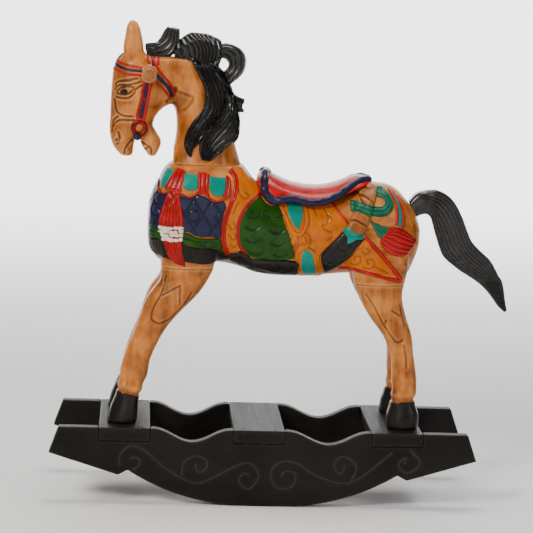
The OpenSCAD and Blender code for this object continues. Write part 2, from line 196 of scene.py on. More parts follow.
def remesh(thing, size):
    """Wraps a mesh in one even skin, the way filler and sanding close up a carving."""
    thing.data.remesh_voxel_size = size
    modifier = thing.modifiers.new("skin", "REMESH")
    modifier.mode = "VOXEL"
    modifier.voxel_size = size
    modifier.adaptivity = 0
    graph = bpy.context.evaluated_depsgraph_get()
    fresh = bpy.data.meshes.new_from_object(thing.evaluated_get(graph))
    thing.modifiers.clear()
    old = thing.data
    thing.data = fresh
    bpy.data.meshes.remove(old)
    thing.data.shade_smooth()
    return thing


def neighbour_mean(values, edges, count):
    """The mean of each point's neighbours, for one value or three per point."""
    values = values.reshape(count, -1)
    total = np.zeros_like(values)
    for a, b in ((0, 1), (1, 0)):
        for k in range(values.shape[1]):
            total[:, k] += np.bincount(edges[:, a], values[edges[:, b], k], count)
    share = np.bincount(edges.ravel(), minlength=count).clip(1)[:, None]
    return total / share


def smooth(thing, rounds, strength=0.5, hold=None):
    """Sands a mesh. Where hold is 1 the points stay as they are."""
    points = points_of(thing)
    edges = edges_of(thing)
    free = strength * (1 - (hold if hold is not None else np.zeros(len(points))))[:, None]
    for _ in range(rounds):
        points += free * (neighbour_mean(points, edges, len(points)) - points)
    set_points(thing, points)


def surface_of(*things):
    """A searchable copy of one or more surfaces."""
    return BVHTree.FromPolygons(*gathered(things))


# %% [markdown]
# Carved lines are drawn from the side with a few points each. A smooth curve through the points
# looks like one stroke of a gouge, and evenly spaced points keep its cut equally deep all along.

# %% Curve helpers
def between(a, b, c, d, t):
    """The point at share t from b to c, on a smooth line through a, b, c and d."""
    return 0.5 * (2 * b + (c - a) * t + (2 * a - 5 * b + 4 * c - d) * t * t
                  + (3 * b - a - 3 * c + d) * t ** 3)


def curve(row, steps=6, closed=False):
    """A smooth line through a few points."""
    row = [np.array(p, float) for p in row]
    count = len(row)
    made = []
    for i in range(count if closed else count - 1):
        if closed:
            a, b, c, d = (row[(i + k) % count] for k in (-1, 0, 1, 2))
        else:
            a, b, c, d = row[max(i - 1, 0)], row[i], row[i + 1], row[min(i + 2, count - 1)]
        made.extend(between(a, b, c, d, j / steps) for j in range(steps))
    if not closed:
        made.append(row[-1])
    return np.array(made)


def even(line, gap, closed=False):
    """The same line with points about one gap apart."""
    line = np.array(line, float)
    if closed:
        line = np.vstack([line, line[:1]])
    length = np.concatenate([[0], np.cumsum(np.linalg.norm(np.diff(line, axis=0), axis=1))])
    count = max(int(round(length[-1] / gap)), 2)
    where = np.linspace(0, length[-1], count + 1)
    made = np.stack([np.interp(where, length, line[:, k]) for k in range(line.shape[1])], axis=1)
    return made[:-1] if closed else made


def distance(points, line):
    """How far each flat point is from a line drawn in the same plane."""
    line = np.array(line, float)
    best = np.full(len(points), 1e9)
    for a, b in zip(line[:-1], line[1:]):
        run = b - a
        t = np.clip(((points - a) @ run) / max(run @ run, 1e-9), 0, 1)
        best = np.minimum(best, np.linalg.norm(points - a - t[:, None] * run, axis=1))
    return best


def side_view(points):
    """Length along the horse and height, in millimetres."""
    return points[:, [0, 2]] / MM


def groove(thing, lines, depth, width, where):
    """Cuts V-shaped lines, drawn from the side, into a surface. Returns how deep each point went."""
    points = points_of(thing)
    flat = side_view(points)
    cut = np.zeros(len(points))
    for line in lines:
        low, high = line.min(0) - 3 * width, line.max(0) + 3 * width
        near = np.all((flat > low) & (flat < high), axis=1)
        if near.any():
            share = np.exp(-(distance(flat[near], line) / width) ** 2)
            cut[near] = np.maximum(cut[near], share)
    cut *= where
    set_points(thing, points - normals_of(thing) * (cut * depth * MM)[:, None])
    return cut


def facing(thing, side=0):
    """1 where a surface faces sideways, 0 where it doesn't. A side of -1 or 1 keeps one side."""
    across = normals_of(thing)[:, 1]
    across = np.abs(across) if side == 0 else across * side
    return np.clip((across - 0.15) / 0.35, 0, 1)


# %% [markdown]
# ## Wood and paint
# Old carved toys are dark in their hollows, where wax and dirt stay, and pale on their edges,
# where hands rub. The dark in the hollows is also painted shade, where shade falls in the cuts.
# So each piece first measures its own hollows and edges, point by point.
# The materials then read those two values, so wear and painted shade follow the carving by itself.

# %% Measure hollows and edges
BEND_GAIN = 3  # a bend of a third of the mesh's step counts as a full hollow or edge


def weather(thing, cut=None, rounds=3, reach=1.0):
    points = points_of(thing)
    edges = edges_of(thing)
    count = len(points)
    step = np.linalg.norm(points[edges[:, 0]] - points[edges[:, 1]], axis=1).mean()
    wide = points.copy()
    for _ in range(rounds):
        wide = neighbour_mean(wide, edges, count)
    bend = ((wide - points) * normals_of(thing)).sum(1) / step * reach
    bend = neighbour_mean(bend, edges, count).ravel()
    # hollow: wax colour and painted shade together, from the inward bend and from the cut or shade values
    # passed in
    hollow = np.clip(bend * BEND_GAIN, 0, 1)
    if cut is not None:
        hollow = np.maximum(hollow, np.clip(cut, 0, 1))
    for name, value in (("hollow", hollow), ("edge", np.clip(-bend * BEND_GAIN, 0, 1))):
        layer = thing.data.attributes.get(name) or thing.data.attributes.new(name, "FLOAT", "POINT")
        layer.data.foreach_set("value", value.astype(np.float32))


# %% [markdown]
# A finish on wood is a stack: a base colour, streaks, rubbed edges, wax in the cuts and small
# bumps. This class gives each layer one short call, so a recipe reads from bottom to top.

# %% Material tools
class Paint:
    """A material and short ways to add nodes to it."""

    def __init__(self, name):
        self.material = bpy.data.materials.new(name)
        self.material.use_nodes = True
        self.tree = self.material.node_tree
        self.shader = self.tree.nodes["Principled BSDF"]
        self.place = self.tree.nodes.new("ShaderNodeTexCoord").outputs["Object"]

    def node(self, kind, **settings):
        made = self.tree.nodes.new("ShaderNode" + kind)
        for key, value in settings.items():
            if key in made.inputs:
                made.inputs[key].default_value = value
            else:
                setattr(made, key, value)
        return made

    def link(self, start, end):
        self.tree.links.new(start, end)

    def stretched(self, scale):
        mapping = self.node("Mapping")
        mapping.inputs["Scale"].default_value = scale
        self.link(self.place, mapping.inputs["Vector"])
        return mapping.outputs["Vector"]

    def noise(self, scale, detail=4, stretch=(1, 1, 1), roughness=0.5):
        made = self.node("TexNoise", Scale=scale, Detail=detail, Roughness=roughness)
        self.link(self.stretched(stretch), made.inputs["Vector"])
        return made.outputs["Fac"]

    def cells(self, scale, stretch=(1, 1, 1)):
        made = self.node("TexVoronoi", Scale=scale, feature="SMOOTH_F1")
        self.link(self.stretched(stretch), made.inputs["Vector"])
        return made.outputs["Distance"]

    def measured(self, name):
        return self.node("Attribute", attribute_name=name).outputs["Fac"]

    def ramp(self, value, *stops):
        made = self.node("ValToRGB")
        ends = made.color_ramp.elements
        while len(ends) < len(stops):
            ends.new(0.5)
        for end, (at, colour) in zip(ends, stops):
            end.position = at
            end.color = (*colour, 1) if len(colour) == 3 else colour
        self.link(value, made.inputs["Fac"])
        return made.outputs["Color"]

    def mask(self, value, low, high):
        """0 below low, 1 above high."""
        return self.ramp(value, (low, (0, 0, 0)), (high, (1, 1, 1)))

    def maths(self, operation, a, b):
        made = self.node("Math", operation=operation)
        made.use_clamp = True
        for k, value in enumerate((a, b)):
            if isinstance(value, (int, float)):
                made.inputs[k].default_value = value
            else:
                self.link(value, made.inputs[k])
        return made.outputs["Value"]

    def mix(self, share, a, b, blend="MIX"):
        made = self.node("Mix", data_type="RGBA", blend_type=blend)
        for socket, value in ((made.inputs[0], share), (made.inputs[6], a), (made.inputs[7], b)):
            if isinstance(value, tuple):
                socket.default_value = (*value, 1)
            elif isinstance(value, (int, float)):
                socket.default_value = value
            else:
                self.link(value, socket)
        return made.outputs[2]

    def over(self, colour, share, amount, tint):
        """Lays a tint over a colour, where and as much as share times amount says."""
        return self.mix(self.maths("MULTIPLY", share, amount), colour, tint)

    def bumps(self, *layers):
        """Stacks height layers, each (value, depth in metres)."""
        last = None
        for value, depth in layers:
            bump = self.node("Bump", Distance=depth, Strength=1.0)
            self.link(value, bump.inputs["Height"])
            if last is not None:
                self.link(last, bump.inputs["Normal"])
            last = bump.outputs["Normal"]
        self.link(last, self.shader.inputs["Normal"])

    def finish(self, colour, roughness, coat=0.0, coat_roughness=0.2, specular=0.12):
        self.link(colour, self.shader.inputs["Base Color"])
        if isinstance(roughness, (int, float)):
            self.shader.inputs["Roughness"].default_value = roughness
        else:
            self.link(roughness, self.shader.inputs["Roughness"])
        self.shader.inputs["Specular IOR Level"].default_value = specular
        self.shader.inputs["Coat Weight"].default_value = coat
        self.shader.inputs["Coat Roughness"].default_value = coat_roughness
        return self.material


# %% [markdown]
# Stained wood: a honey brown that drifts from patch to patch, with fine grain along the block,
# shallow flats left by the gouge, dark wax and painted shade in the cuts and a soft waxed shine.

# %% Wood
def make_wood(name, grain, light=(0.68, 0.23, 0.045), main=(0.42, 0.11, 0.012), dark=(0.14, 0.03, 0.003)):
    paint = Paint(name)
    patches = paint.noise(22, 5, roughness=0.55)
    fibres = paint.noise(60, 6, grain, 0.65)
    flats = paint.cells(62)
    colour = paint.ramp(patches, (0.36, dark), (0.5, main), (0.62, light))
    colour = paint.mix(0.42, colour, paint.ramp(fibres, (0.35, dark), (0.6, light)))
    colour = paint.over(colour, paint.measured("edge"), 0.35, (0.85, 0.42, 0.14))
    # dark wax and painted shade in the hollows and cuts
    colour = paint.over(colour, paint.measured("hollow"), 0.78, (0.06, 0.018, 0.004))
    paint.bumps((flats, 0.0022), (patches, 0.002), (fibres, 0.0004))
    rough = paint.maths("ADD", paint.maths("MULTIPLY", fibres, 0.25), 0.24)
    return paint.finish(colour, rough, coat=0.14, coat_roughness=0.12)


# %% [markdown]
# Paint on carving: brush streaks, small chips that show the brown wood, thin paint on the edges,
# painted shade in the hollows and a satin shine. On the hair the pale edges are also a painted
# highlight along the ridges. Each colour is the same recipe with its own tint.

# %% Paint
def make_paint(name, tint, shade, wear_and_sheen=(0.24, 0.1, 0.035), chips=0.5, rough=0.3, rub_and_sheen=0.5, specular=0.12):
    paint = Paint(name)
    drift = paint.noise(38, 4)
    brush = paint.noise(240, 4, (1, 1, 0.25), 0.6)
    grit = paint.noise(420, 5, roughness=0.7)
    colour = paint.mix(paint.mask(drift, 0.3, 0.7), shade, tint)
    colour = paint.mix(0.22, colour, paint.ramp(brush, (0.3, shade), (0.7, tint)))
    # rubbed edges: worn thin paint, and on the hair a painted highlight along the ridge tops
    rubbed = paint.maths("MULTIPLY", paint.measured("edge"), paint.mask(grit, 0.52, 0.7))
    colour = paint.over(colour, rubbed, rub_and_sheen, wear_and_sheen)
    colour = paint.over(colour, paint.mask(grit, 0.72, 0.76), chips, wear_and_sheen)
    # painted shade: the colour darkens in the hollows, cuts and panel rims
    colour = paint.over(colour, paint.measured("hollow"), 0.7, tuple(0.12 * c for c in shade))
    paint.bumps((drift, 0.0012), (brush, 0.0002), (grit, 0.00012))
    roughness = paint.maths("ADD", paint.maths("MULTIPLY", drift, 0.2), rough - 0.1)
    return paint.finish(colour, roughness, coat=0.14, coat_roughness=0.1, specular=specular)


UPRIGHT = (1, 1, 0.08)
ALONG = (0.08, 1, 1)
WOODS = {
    "body": make_wood("wood_along", ALONG),
    "leg": make_wood("wood_upright", UPRIGHT),
    "hilt": make_wood("wood_hilt", UPRIGHT, (0.46, 0.14, 0.025), (0.27, 0.066, 0.008), (0.08, 0.018, 0.002)),
    "peg": make_wood("wood_peg", (1, 0.08, 1), (0.42, 0.15, 0.045), (0.29, 0.09, 0.022), (0.15, 0.042, 0.01)),
}
PAINTS = {
    "black_paint": make_paint("paint_black", (0.020, 0.016, 0.014), (0.009, 0.007, 0.006),
                              (0.045, 0.036, 0.03), chips=0.15, rub_and_sheen=0.3),
    # painted highlight: the hair's ridge tops are lightened pale grey, as wear and painted highlight at once
    "hair_paint": make_paint("paint_hair", (0.022, 0.020, 0.018), (0.009, 0.008, 0.007),
                             (0.09, 0.083, 0.076), chips=0.1, rough=0.27, rub_and_sheen=0.8, specular=0.36),
    "red_paint": make_paint("paint_red", (0.56, 0.010, 0.010), (0.30, 0.003, 0.005), (0.2, 0.05, 0.015)),
    "navy_paint": make_paint("paint_navy", (0.020, 0.020, 0.062), (0.009, 0.009, 0.030), (0.07, 0.035, 0.02)),
    "teal_paint": make_paint("paint_teal", (0.002, 0.26, 0.205), (0.001, 0.17, 0.13)),
    "green_paint": make_paint("paint_green", (0.014, 0.075, 0.003), (0.005, 0.03, 0.0015),
                              (0.08, 0.05, 0.01)),
    "ribbon_paint": make_paint("paint_ribbon", (0.006, 0.17, 0.095), (0.003, 0.08, 0.042)),
    "ochre_paint": make_paint("paint_ochre", (0.64, 0.16, 0.0008), (0.42, 0.08, 0.0005)),
    "cream_paint": make_paint("paint_cream", (0.92, 0.86, 0.74), (0.75, 0.64, 0.48)),
}
print("materials:", len(WOODS) + len(PAINTS))


# %% [markdown]
# The base is charcoal paint, brushed along the boards and rubbed grey and brown at the edges.

# %% Base paint
def make_base_paint(name, grain):
    paint = Paint(name)
    streaks = paint.noise(70, 6, grain, 0.7)
    clouds = paint.noise(9, 5)
    grit = paint.noise(300, 5, roughness=0.75)
    colour = paint.ramp(streaks, (0.3, (0.005, 0.004, 0.003)), (0.62, (0.011, 0.009, 0.007)),
                        (0.85, (0.036, 0.028, 0.02)))
    clouded = paint.ramp(clouds, (0.35, (0.004, 0.0035, 0.003)), (0.7, (0.016, 0.013, 0.011)))
    colour = paint.mix(0.5, colour, clouded)
    rubbed = paint.maths("MULTIPLY", paint.measured("edge"), paint.mask(grit, 0.46, 0.66))
    colour = paint.over(colour, rubbed, 0.4, (0.09, 0.075, 0.06))
    colour = paint.over(colour, paint.measured("hollow"), 0.55, (0.07, 0.062, 0.054))
    paint.bumps((streaks, 0.0009), (clouds, 0.002), (grit, 0.0002))
    rough = paint.maths("ADD", paint.maths("MULTIPLY", streaks, 0.3), 0.38)
    return paint.finish(colour, rough, coat=0.03, coat_roughness=0.3)


BASE_PAINTS = {"along": make_base_paint("base_paint_along", (0.06, 1, 1)),
               "across": make_base_paint("base_paint_across", (1, 0.06, 1))}


def dress(thing, material, slot, *nodes):
    """Gives a finished piece its material and its place on the frame. The slot argument is not used."""
    thing.data.materials.clear()
    thing.data.materials.append(material)
    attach(thing, "root")
    if nodes:
        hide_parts(*nodes)
    return thing


def mirrored(thing, name):
    """The same piece on the other side of the horse."""
    points = points_of(thing) * (1, -1, 1)
    faces = [list(reversed(p.vertices)) for p in thing.data.polygons]
    made = mesh_object(name, points, faces)
    for layer in thing.data.attributes:
        if layer.name in ("hollow", "edge"):
            values = np.empty(len(points), np.float32)
            layer.data.foreach_get("value", values)
            made.data.attributes.new(layer.name, "FLOAT", "POINT").data.foreach_set("value", values)
    return made


# %% [markdown]
# ## The base
# Each rocker is one board with a rolling lower edge, two waves in its upper edge, and scrolls
# cut into its outer face. The skin of small even faces rounds its edges as years of use do.
# The three boards get the same skin, and the screws in them are painted over with them.

# %% Rockers and boards
SIDES = ((-1, "left"), (1, "right"))
SKIN = {"rocker": 1.7 * MM, "board": 2.2 * MM, "body": 2.5 * MM, "leg": 1.9 * MM, "head": 1.45 * MM,
        "grip": 1.2 * MM, "seat": 1.8 * MM}
SCROLL_ROUNDS = 8
FRONT_SCROLLS = [
    [(-274, 75), (-277, 94), (-256, 114), (-226, 104), (-189, 72), (-134, 44), (-100, 53), (-59, 76),
     (-26, 85), (-8, 60), (-28, 33), (-47, 50), (-37, 65), (-28, 62)],
    [(-256, 87), (-246, 93), (-235, 81), (-249, 67)],
    [(-156, 58), (-152, 86), (-126, 97), (-106, 81), (-124, 63), (-130, 79)],
]
REAR_SCROLLS = [
    [(247, 111), (211, 79), (180, 56), (150, 49), (100, 64), (63, 87), (29, 87), (14, 63), (29, 37),
     (57, 41), (63, 66), (39, 70), (36, 60)],
    [(170, 54), (180, 83), (154, 102), (135, 86), (149, 66), (157, 84)],
    [(283, 117), (303, 91), (277, 71), (260, 89), (277, 103), (271, 90)],
]
scrolls = [even(curve(row, 8), 2) for row in FRONT_SCROLLS + REAR_SCROLLS]
for line in scrolls:
    for _ in range(SCROLL_ROUNDS):
        line[1:-1] = (line[:-2] + 2 * line[1:-1] + line[2:]) / 4
for side, hand in SIDES:
    node = hand + "_rocker"
    rocker = remesh(from_frame("carved_" + node, node), SKIN["rocker"])
    smooth(rocker, 3)
    cut = groove(rocker, scrolls, depth=1.8, width=1.2, where=facing(rocker, side))
    weather(rocker, cut * 0.8, rounds=4)
    dress(rocker, BASE_PAINTS["along"], "base_paint", node)

for node in ("front_board", "middle_board", "rear_board"):
    board = remesh(from_frame("painted_" + node, node), SKIN["board"])
    smooth(board, 3)
    weather(board, rounds=4)
    dress(board, BASE_PAINTS["across"], "base_paint", node)

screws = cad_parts["board_screws"]
if not screws.material_slots:
    screws.data.materials.append(None)
for place in screws.material_slots:
    place.link = "OBJECT"
    place.material = BASE_PAINTS["across"]
print("base pieces ready")

# %% [markdown]
# ## The wooden blocks
# Body, neck, head and legs start from the frame's own blocks. Each gets an even skin and is
# sanded, except close to the glue joints, so that the blocks still meet in a fine dark line.

# %% Body
JOINT_REACH = 9 * MM


def near_level(points, height, reach):
    """1 at a level joint and falling to 0 within reach, all in metres."""
    return np.clip(1 - np.abs(points[:, 2] - height) / reach, 0, 1)


def block(name, node, size, rounds, joints):
    """A copy of one block of the frame, sanded all over except close to its level joints."""
    made = remesh(from_frame(name, node), size)
    points = points_of(made)
    hold = np.zeros(len(points))
    for height in joints:
        hold = np.maximum(hold, near_level(points, height, JOINT_REACH))
    smooth(made, rounds, 0.5, hold)
    smooth(made, 2)
    return made


FORE_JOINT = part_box("left_fore_leg")[1].z
HIND_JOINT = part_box("left_hind_leg")[1].z
NECK_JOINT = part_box("neck_block")[0].z
body = block("carved_body", "body_block", SKIN["body"], 26, (FORE_JOINT, HIND_JOINT, NECK_JOINT))
weather(body, rounds=4, reach=1.2)
dress(body, WOODS["body"], "wood", "body_block")
print("body carved:", len(body.data.vertices))

# %% [markdown]
# The legs are carved with a knife: a long loop marks the muscle, two short cuts cross it,
# and the hooves are a separate black coat below a clear step. No two hand-carved legs match,
# so the legs of the right side lean back a few millimetres more than the left ones.

# %% Legs and hooves
FORE_CUTS = [
    [(-196, 436), (-203, 404), (-212, 387), (-220, 369), (-222, 353), (-214, 346), (-206, 344),
     (-192, 349), (-177, 362), (-159, 382), (-146, 404)],
    [(-203, 397), (-168, 418)], [(-169, 416), (-168, 381)],
]
HIND_CUTS = [
    [(191, 410), (209, 383), (223, 358), (240, 333), (250, 321), (257, 318), (265, 323)],
    [(258, 390), (263, 367), (269, 350)], [(242, 379), (259, 369)], [(231, 360), (230, 355)],
    [(268, 312), (272, 292), (274, 268)],
]
HOOF_TOPS = {"fore": ((-284, 211), (-241, 200)), "hind": ((246, 200), (294, 203))}
LEAN = 6 * MM
LEAN_STARTS = {"fore": 200 * MM, "hind": 140 * MM}


def shadow_of(thing, cuts, width=1.5):
    """How close each point is to a row of cuts, for the dark wax and painted shade that sit in them."""
    flat = side_view(points_of(thing))
    near = [np.exp(-(distance(flat, curve(row)) / width) ** 2) for row in cuts]
    return np.max(near, axis=0)


def split_along(thing, name, line):
    """Cuts a piece along a line drawn from the side. The part on its right becomes a new piece."""
    (x0, z0), (x1, z1) = line
    flat = side_view(np.array([p.center for p in thing.data.polygons]))
    right_of = (x1 - x0) * (flat[:, 1] - z0) < (z1 - z0) * (flat[:, 0] - x0)
    faces = [list(p.vertices) for p in thing.data.polygons]
    points = points_of(thing)
    parts = []
    for wanted in (True, False):
        chosen = [f for f, there in zip(faces, right_of) if there == wanted]
        used = sorted({i for f in chosen for i in f})
        number = {old: new for new, old in enumerate(used)}
        parts.append((points[used], [[number[i] for i in f] for f in chosen]))
    made = mesh_object(name, *parts[0])
    rest = mesh_object("rest", *parts[1])
    old, thing.data = thing.data, rest.data
    bpy.data.objects.remove(rest)
    bpy.data.meshes.remove(old)
    return made


for side, hand in SIDES:
    for pair, cuts, joint in (("fore", FORE_CUTS, FORE_JOINT), ("hind", HIND_CUTS, HIND_JOINT)):
        node = f"{hand}_{pair}_leg"
        leg = block("carved_" + node, node, SKIN["leg"], 16, (joint,))
        groove(leg, [curve(row) for row in cuts], depth=2.0, width=1.2, where=facing(leg, side))
        points = points_of(leg)
        (x0, z0), (x1, z1) = HOOF_TOPS[pair]
        flat = side_view(points)
        below = z0 + (flat[:, 0] - x0) * (z1 - z0) / (x1 - x0) - flat[:, 1]
        step = np.clip(below / 1.5, -1, 1) * np.exp(-(below / 7) ** 2)
        fetlock = 2.2 * np.exp(-((below + 13) / 6) ** 2) - 1.4 * np.exp(-((below + 30) / 10) ** 2)
        points += normals_of(leg) * ((step * 1.1 + fetlock) * MM)[:, None]
        if side > 0:
            low = LEAN_STARTS[pair]
            share = np.clip((points[:, 2] - low) / (joint - low), 0, 1)
            points[:, 0] += LEAN * np.sin(math.pi * share ** 0.8)
        set_points(leg, points)
        hoof = split_along(leg, f"{hand}_{pair}_hoof", HOOF_TOPS[pair])
        weather(hoof, reach=1.2)
        weather(leg, shadow_of(leg, cuts) * facing(leg, side), reach=1.2)
        dress(leg, WOODS["leg"], "wood", node)
        dress(hoof, PAINTS["black_paint"], "black_paint", node)
print("legs carved")


# %% [markdown]
# ## The head
# Head, ears and neck are carved after they are glued, so no step shows between them.
# Soft forms come first: cheek, brow, eye socket, nostril. The lines come last, cut with a knife,
# as a carver works from large forms to fine ones.

# %% Head
SWELLS = [
    (-247, 768, 26, 30, 4.0), (-286, 783, 15, 9, -4.6), (-286, 783, 9.5, 6.5, 5.2),
    (-288, 800, 17, 4.5, 2.4), (-284, 768.5, 18, 4, 1.4), (-300, 712, 8, 14, -0.8),
    (-297, 690, 8, 9, 1.8), (-282, 752, 13, 11, 1.0), (-262, 690, 7, 9, -1.4), (-232, 690, 12, 12, 2.2),
    (-222, 672, 6, 9, 1.6), (-290, 742, 9, 3, -0.6), (-274, 675, 5, 9, -1.8), (-246, 671, 7, 6, -1.8),
]
EYE_CUTS = [
    [(-303, 795), (-300, 801), (-290, 804), (-276, 806), (-266, 809), (-262, 809)],
    [(-303, 786), (-301, 792), (-290, 796), (-276, 796.5), (-262, 801), (-256, 803)],
    [(-300, 779), (-297, 787), (-288, 792.5), (-277, 793), (-267, 791.5), (-271, 785), (-278, 779.5),
     (-289, 777.5), (-300, 779)],
    [(-301, 773), (-289, 771), (-277, 772), (-267, 781), (-263.5, 789), (-252, 797)],
]
FACE_CUTS = [
    [(-304.6, 768), (-303, 759.7), (-301, 748.6), (-295.3, 740.2), (-282.4, 736), (-268, 735.4)],
    [(-308, 704), (-307.4, 718), (-304.6, 727.7), (-296.7, 734.7)],
    [(-305.3, 715.2), (-301, 723.6), (-292.4, 727.7), (-278, 728.4), (-265.3, 728.4)],
    [(-295, 704), (-292, 696), (-293, 688), (-296, 682)],
    [(-268, 690), (-276, 680), (-281, 672), (-282, 663)],
    [(-250, 686), (-240, 680), (-232.4, 675), (-229.6, 663)],
    [(-243, 671), (-236, 677)],
]
NOSTRIL = (-297.9, 689.5)
EAR_WIDENING = 1.2 * MM  # what smoothing takes off an ear's front edge
HEAD_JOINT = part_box("head_block")[1].x
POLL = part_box("left_ear")[0].z
NECK_CUTS = [[(-187, 788), (-165, 781), (-154, 778)], [(-154, 778), (-155, 768), (-170, 752)]]
CHEEK_EDGE = [[(-188, 792), (-191, 782), (-196, 772), (-202, 766)]]
# Each row: the cuts, points per stretch, depth, width, and how dark and how wide the wax and painted shade in
# them is.
HEAD_CUTS = [(EYE_CUTS, 6, 3.2, 1.7, 0.8, 1.3), (FACE_CUTS, 6, 2.8, 2.0, 0.5, 1.3),
             (NECK_CUTS, 3, 1.4, 3.6, 0.15, 1.6), (CHEEK_EDGE, 6, 3.4, 4.0, 0.5, 3.0)]


def swell(thing, fields, where):
    """Pushes soft round forms out of a surface, or presses them in."""
    points = points_of(thing)
    flat = side_view(points)
    rise = np.zeros(len(points))
    for x, z, reach_x, reach_z, height in fields:
        rise += height * np.exp(-((flat[:, 0] - x) / reach_x) ** 2 - ((flat[:, 1] - z) / reach_z) ** 2)
    set_points(thing, points + normals_of(thing) * (rise * where * MM)[:, None])


HEAD_NODES = ("head_block", "left_ear", "right_ear", "neck_block")
head = remesh(from_frame("carved_head", *HEAD_NODES), SKIN["head"])
smooth(head, 24, 0.5, near_level(points_of(head), NECK_JOINT, 7 * MM))
points = points_of(head)
ear_root = np.exp(-((points[:, 2] - POLL) / (13 * MM)) ** 2)
seam = np.exp(-((points[:, 0] - HEAD_JOINT) / (15 * MM)) ** 2) * (points[:, 2] > 0.68)
crown = 0.35 * near_level(points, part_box("head_block")[1].z, 12 * MM) * (points[:, 0] > -0.235)
smooth(head, 150, 0.8, 1 - np.maximum(np.maximum(ear_root, seam), crown))
points = points_of(head)
in_ear = np.clip((points[:, 2] - POLL) / (25 * MM), 0, 1)
points[:, 0] -= EAR_WIDENING * in_ear * np.clip(-normals_of(head)[:, 0], 0, 1)
set_points(head, points)
swell(head, SWELLS, facing(head))
points = points_of(head)
flat = side_view(points)
ring = np.hypot((flat[:, 0] - NOSTRIL[0]) / 0.85, flat[:, 1] - NOSTRIL[1])
nostril = 1.6 * np.exp(-((ring - 6) / 1.8) ** 2) - 3.4 * np.exp(-(ring / 3.2) ** 2)
set_points(head, points + normals_of(head) * (nostril * facing(head) * MM)[:, None])
for cuts, steps, depth, width, _, _ in HEAD_CUTS:
    groove(head, [curve(row, steps) for row in cuts], depth, width, facing(head))
smooth(head, 1, 0.4)
head_surface = surface_of(head)
# Painted shade: the nostril, the cuts and a broad band beside the cheek's back edge are darkened, the cuts
# with wax as well.
shadow = 0.8 * shadow_of(head, [[NOSTRIL, NOSTRIL]], 2.6)
for cuts, _, _, _, share, reach in HEAD_CUTS:
    shadow += share * shadow_of(head, cuts, reach)
weather(head, shadow * facing(head), rounds=5, reach=1.3)
dress(head, WOODS["leg"], "wood", *HEAD_NODES)
print("head and neck carved:", len(head.data.vertices))

# %% [markdown]
# The hand grips are turned pegs with softened ends. Their end grain and lathe rings stay paler
# than the stained head.

# %% Grips
for side, hand in SIDES:
    node = hand + "_grip"
    grip = remesh(from_frame("turned_" + node, node), SKIN["grip"])
    smooth(grip, 5)
    points = points_of(grip)
    low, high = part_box(node)
    centre = (low + high) / 2
    radius = np.hypot(points[:, 0] - centre.x, points[:, 2] - centre.z) / MM
    rings = 0.25 * np.sin(radius * 2.1) * facing(grip, side)
    set_points(grip, points + normals_of(grip) * (rings * MM)[:, None])
    weather(grip)
    dress(grip, WOODS["peg"], "wood", node)
print("grips turned")

# %% [markdown]
# The eyeball is a small polished dark bead set into the socket.

# %% Eyes
def bead(name, centre, reach, squash, paint, slot, outward):
    """A flattened ball whose middle is at centre, in metres."""
    points, faces = [], []
    turns, rows = 24, 12
    for r in range(rows + 1):
        lean = math.pi * r / rows
        for t in range(turns):
            a = 2 * math.pi * t / turns
            local = Vector((math.sin(lean) * math.cos(a) * reach[0], -math.cos(lean) * squash,
                            math.sin(lean) * math.sin(a) * reach[1])) * MM
            points.append(centre + Vector((local.x, local.y * outward, local.z)))
    for r in range(rows):
        for t in range(turns):
            u = (t + 1) % turns
            quad = [r * turns + t, r * turns + u, (r + 1) * turns + u, (r + 1) * turns + t]
            faces.append(quad if outward < 0 else quad[::-1])
    made = mesh_object(name, points, faces)
    weather(made)
    return dress(made, paint, slot)


def on_surface(surface, x, z, side=-1):
    """The first place of a surface seen from one side, for x and z in millimetres."""
    hit = surface.ray_cast(Vector((x * MM, side * 1.0, z * MM)), Vector((0, -side, 0)))[0]
    if hit is None:
        hit = surface.find_nearest(Vector((x * MM, side * 0.04, z * MM)))[0]
    return hit


for side, hand in SIDES:
    place = on_surface(head_surface, -286, 783.5, side)
    bead(f"{hand}_pupil", place + Vector((0, side * 0.4 * MM, 0)), (7.8, 5.0), 2.2,
         PAINTS["black_paint"], "black_paint", side)


# %% [markdown]
# ## Mane and tail
# Hair on a carved horse is a few thick locks, each cut into long ridges with a V-tool.
# A lock is drawn as guide lines from its root to its tip. Ridges run along the guides, and
# the lock swells out sideways between them. The same sheet is turned over for the far side.

# %% Combed locks
def spread(guides, steps, across, rounded):
    """A grid of flat points along and across a row of guide lines, closer together at rounded edges."""
    lines = []
    for row in guides:
        line = curve(row, 8)
        length = np.concatenate([[0], np.cumsum(np.linalg.norm(np.diff(line, axis=0), axis=1))])
        where = np.linspace(0, length[-1], steps)
        lines.append(np.stack([np.interp(where, length, line[:, k]) for k in (0, 1)], axis=1))
    lines = np.array(lines)
    share = np.linspace(0, 1, across)
    if rounded:
        share = (1 - np.cos(math.pi * share)) / 2
    share *= len(lines) - 1
    grid = np.empty((steps, across, 2))
    for j, t in enumerate(share):
        i = min(int(t), len(lines) - 2)
        a, b, c, d = (lines[min(max(i + k, 0), len(lines) - 1)] for k in (-1, 0, 1, 2))
        t -= i
        grid[:, j] = b + (c - b) * t if len(lines) == 2 else between(a, b, c, d, t)
    return grid


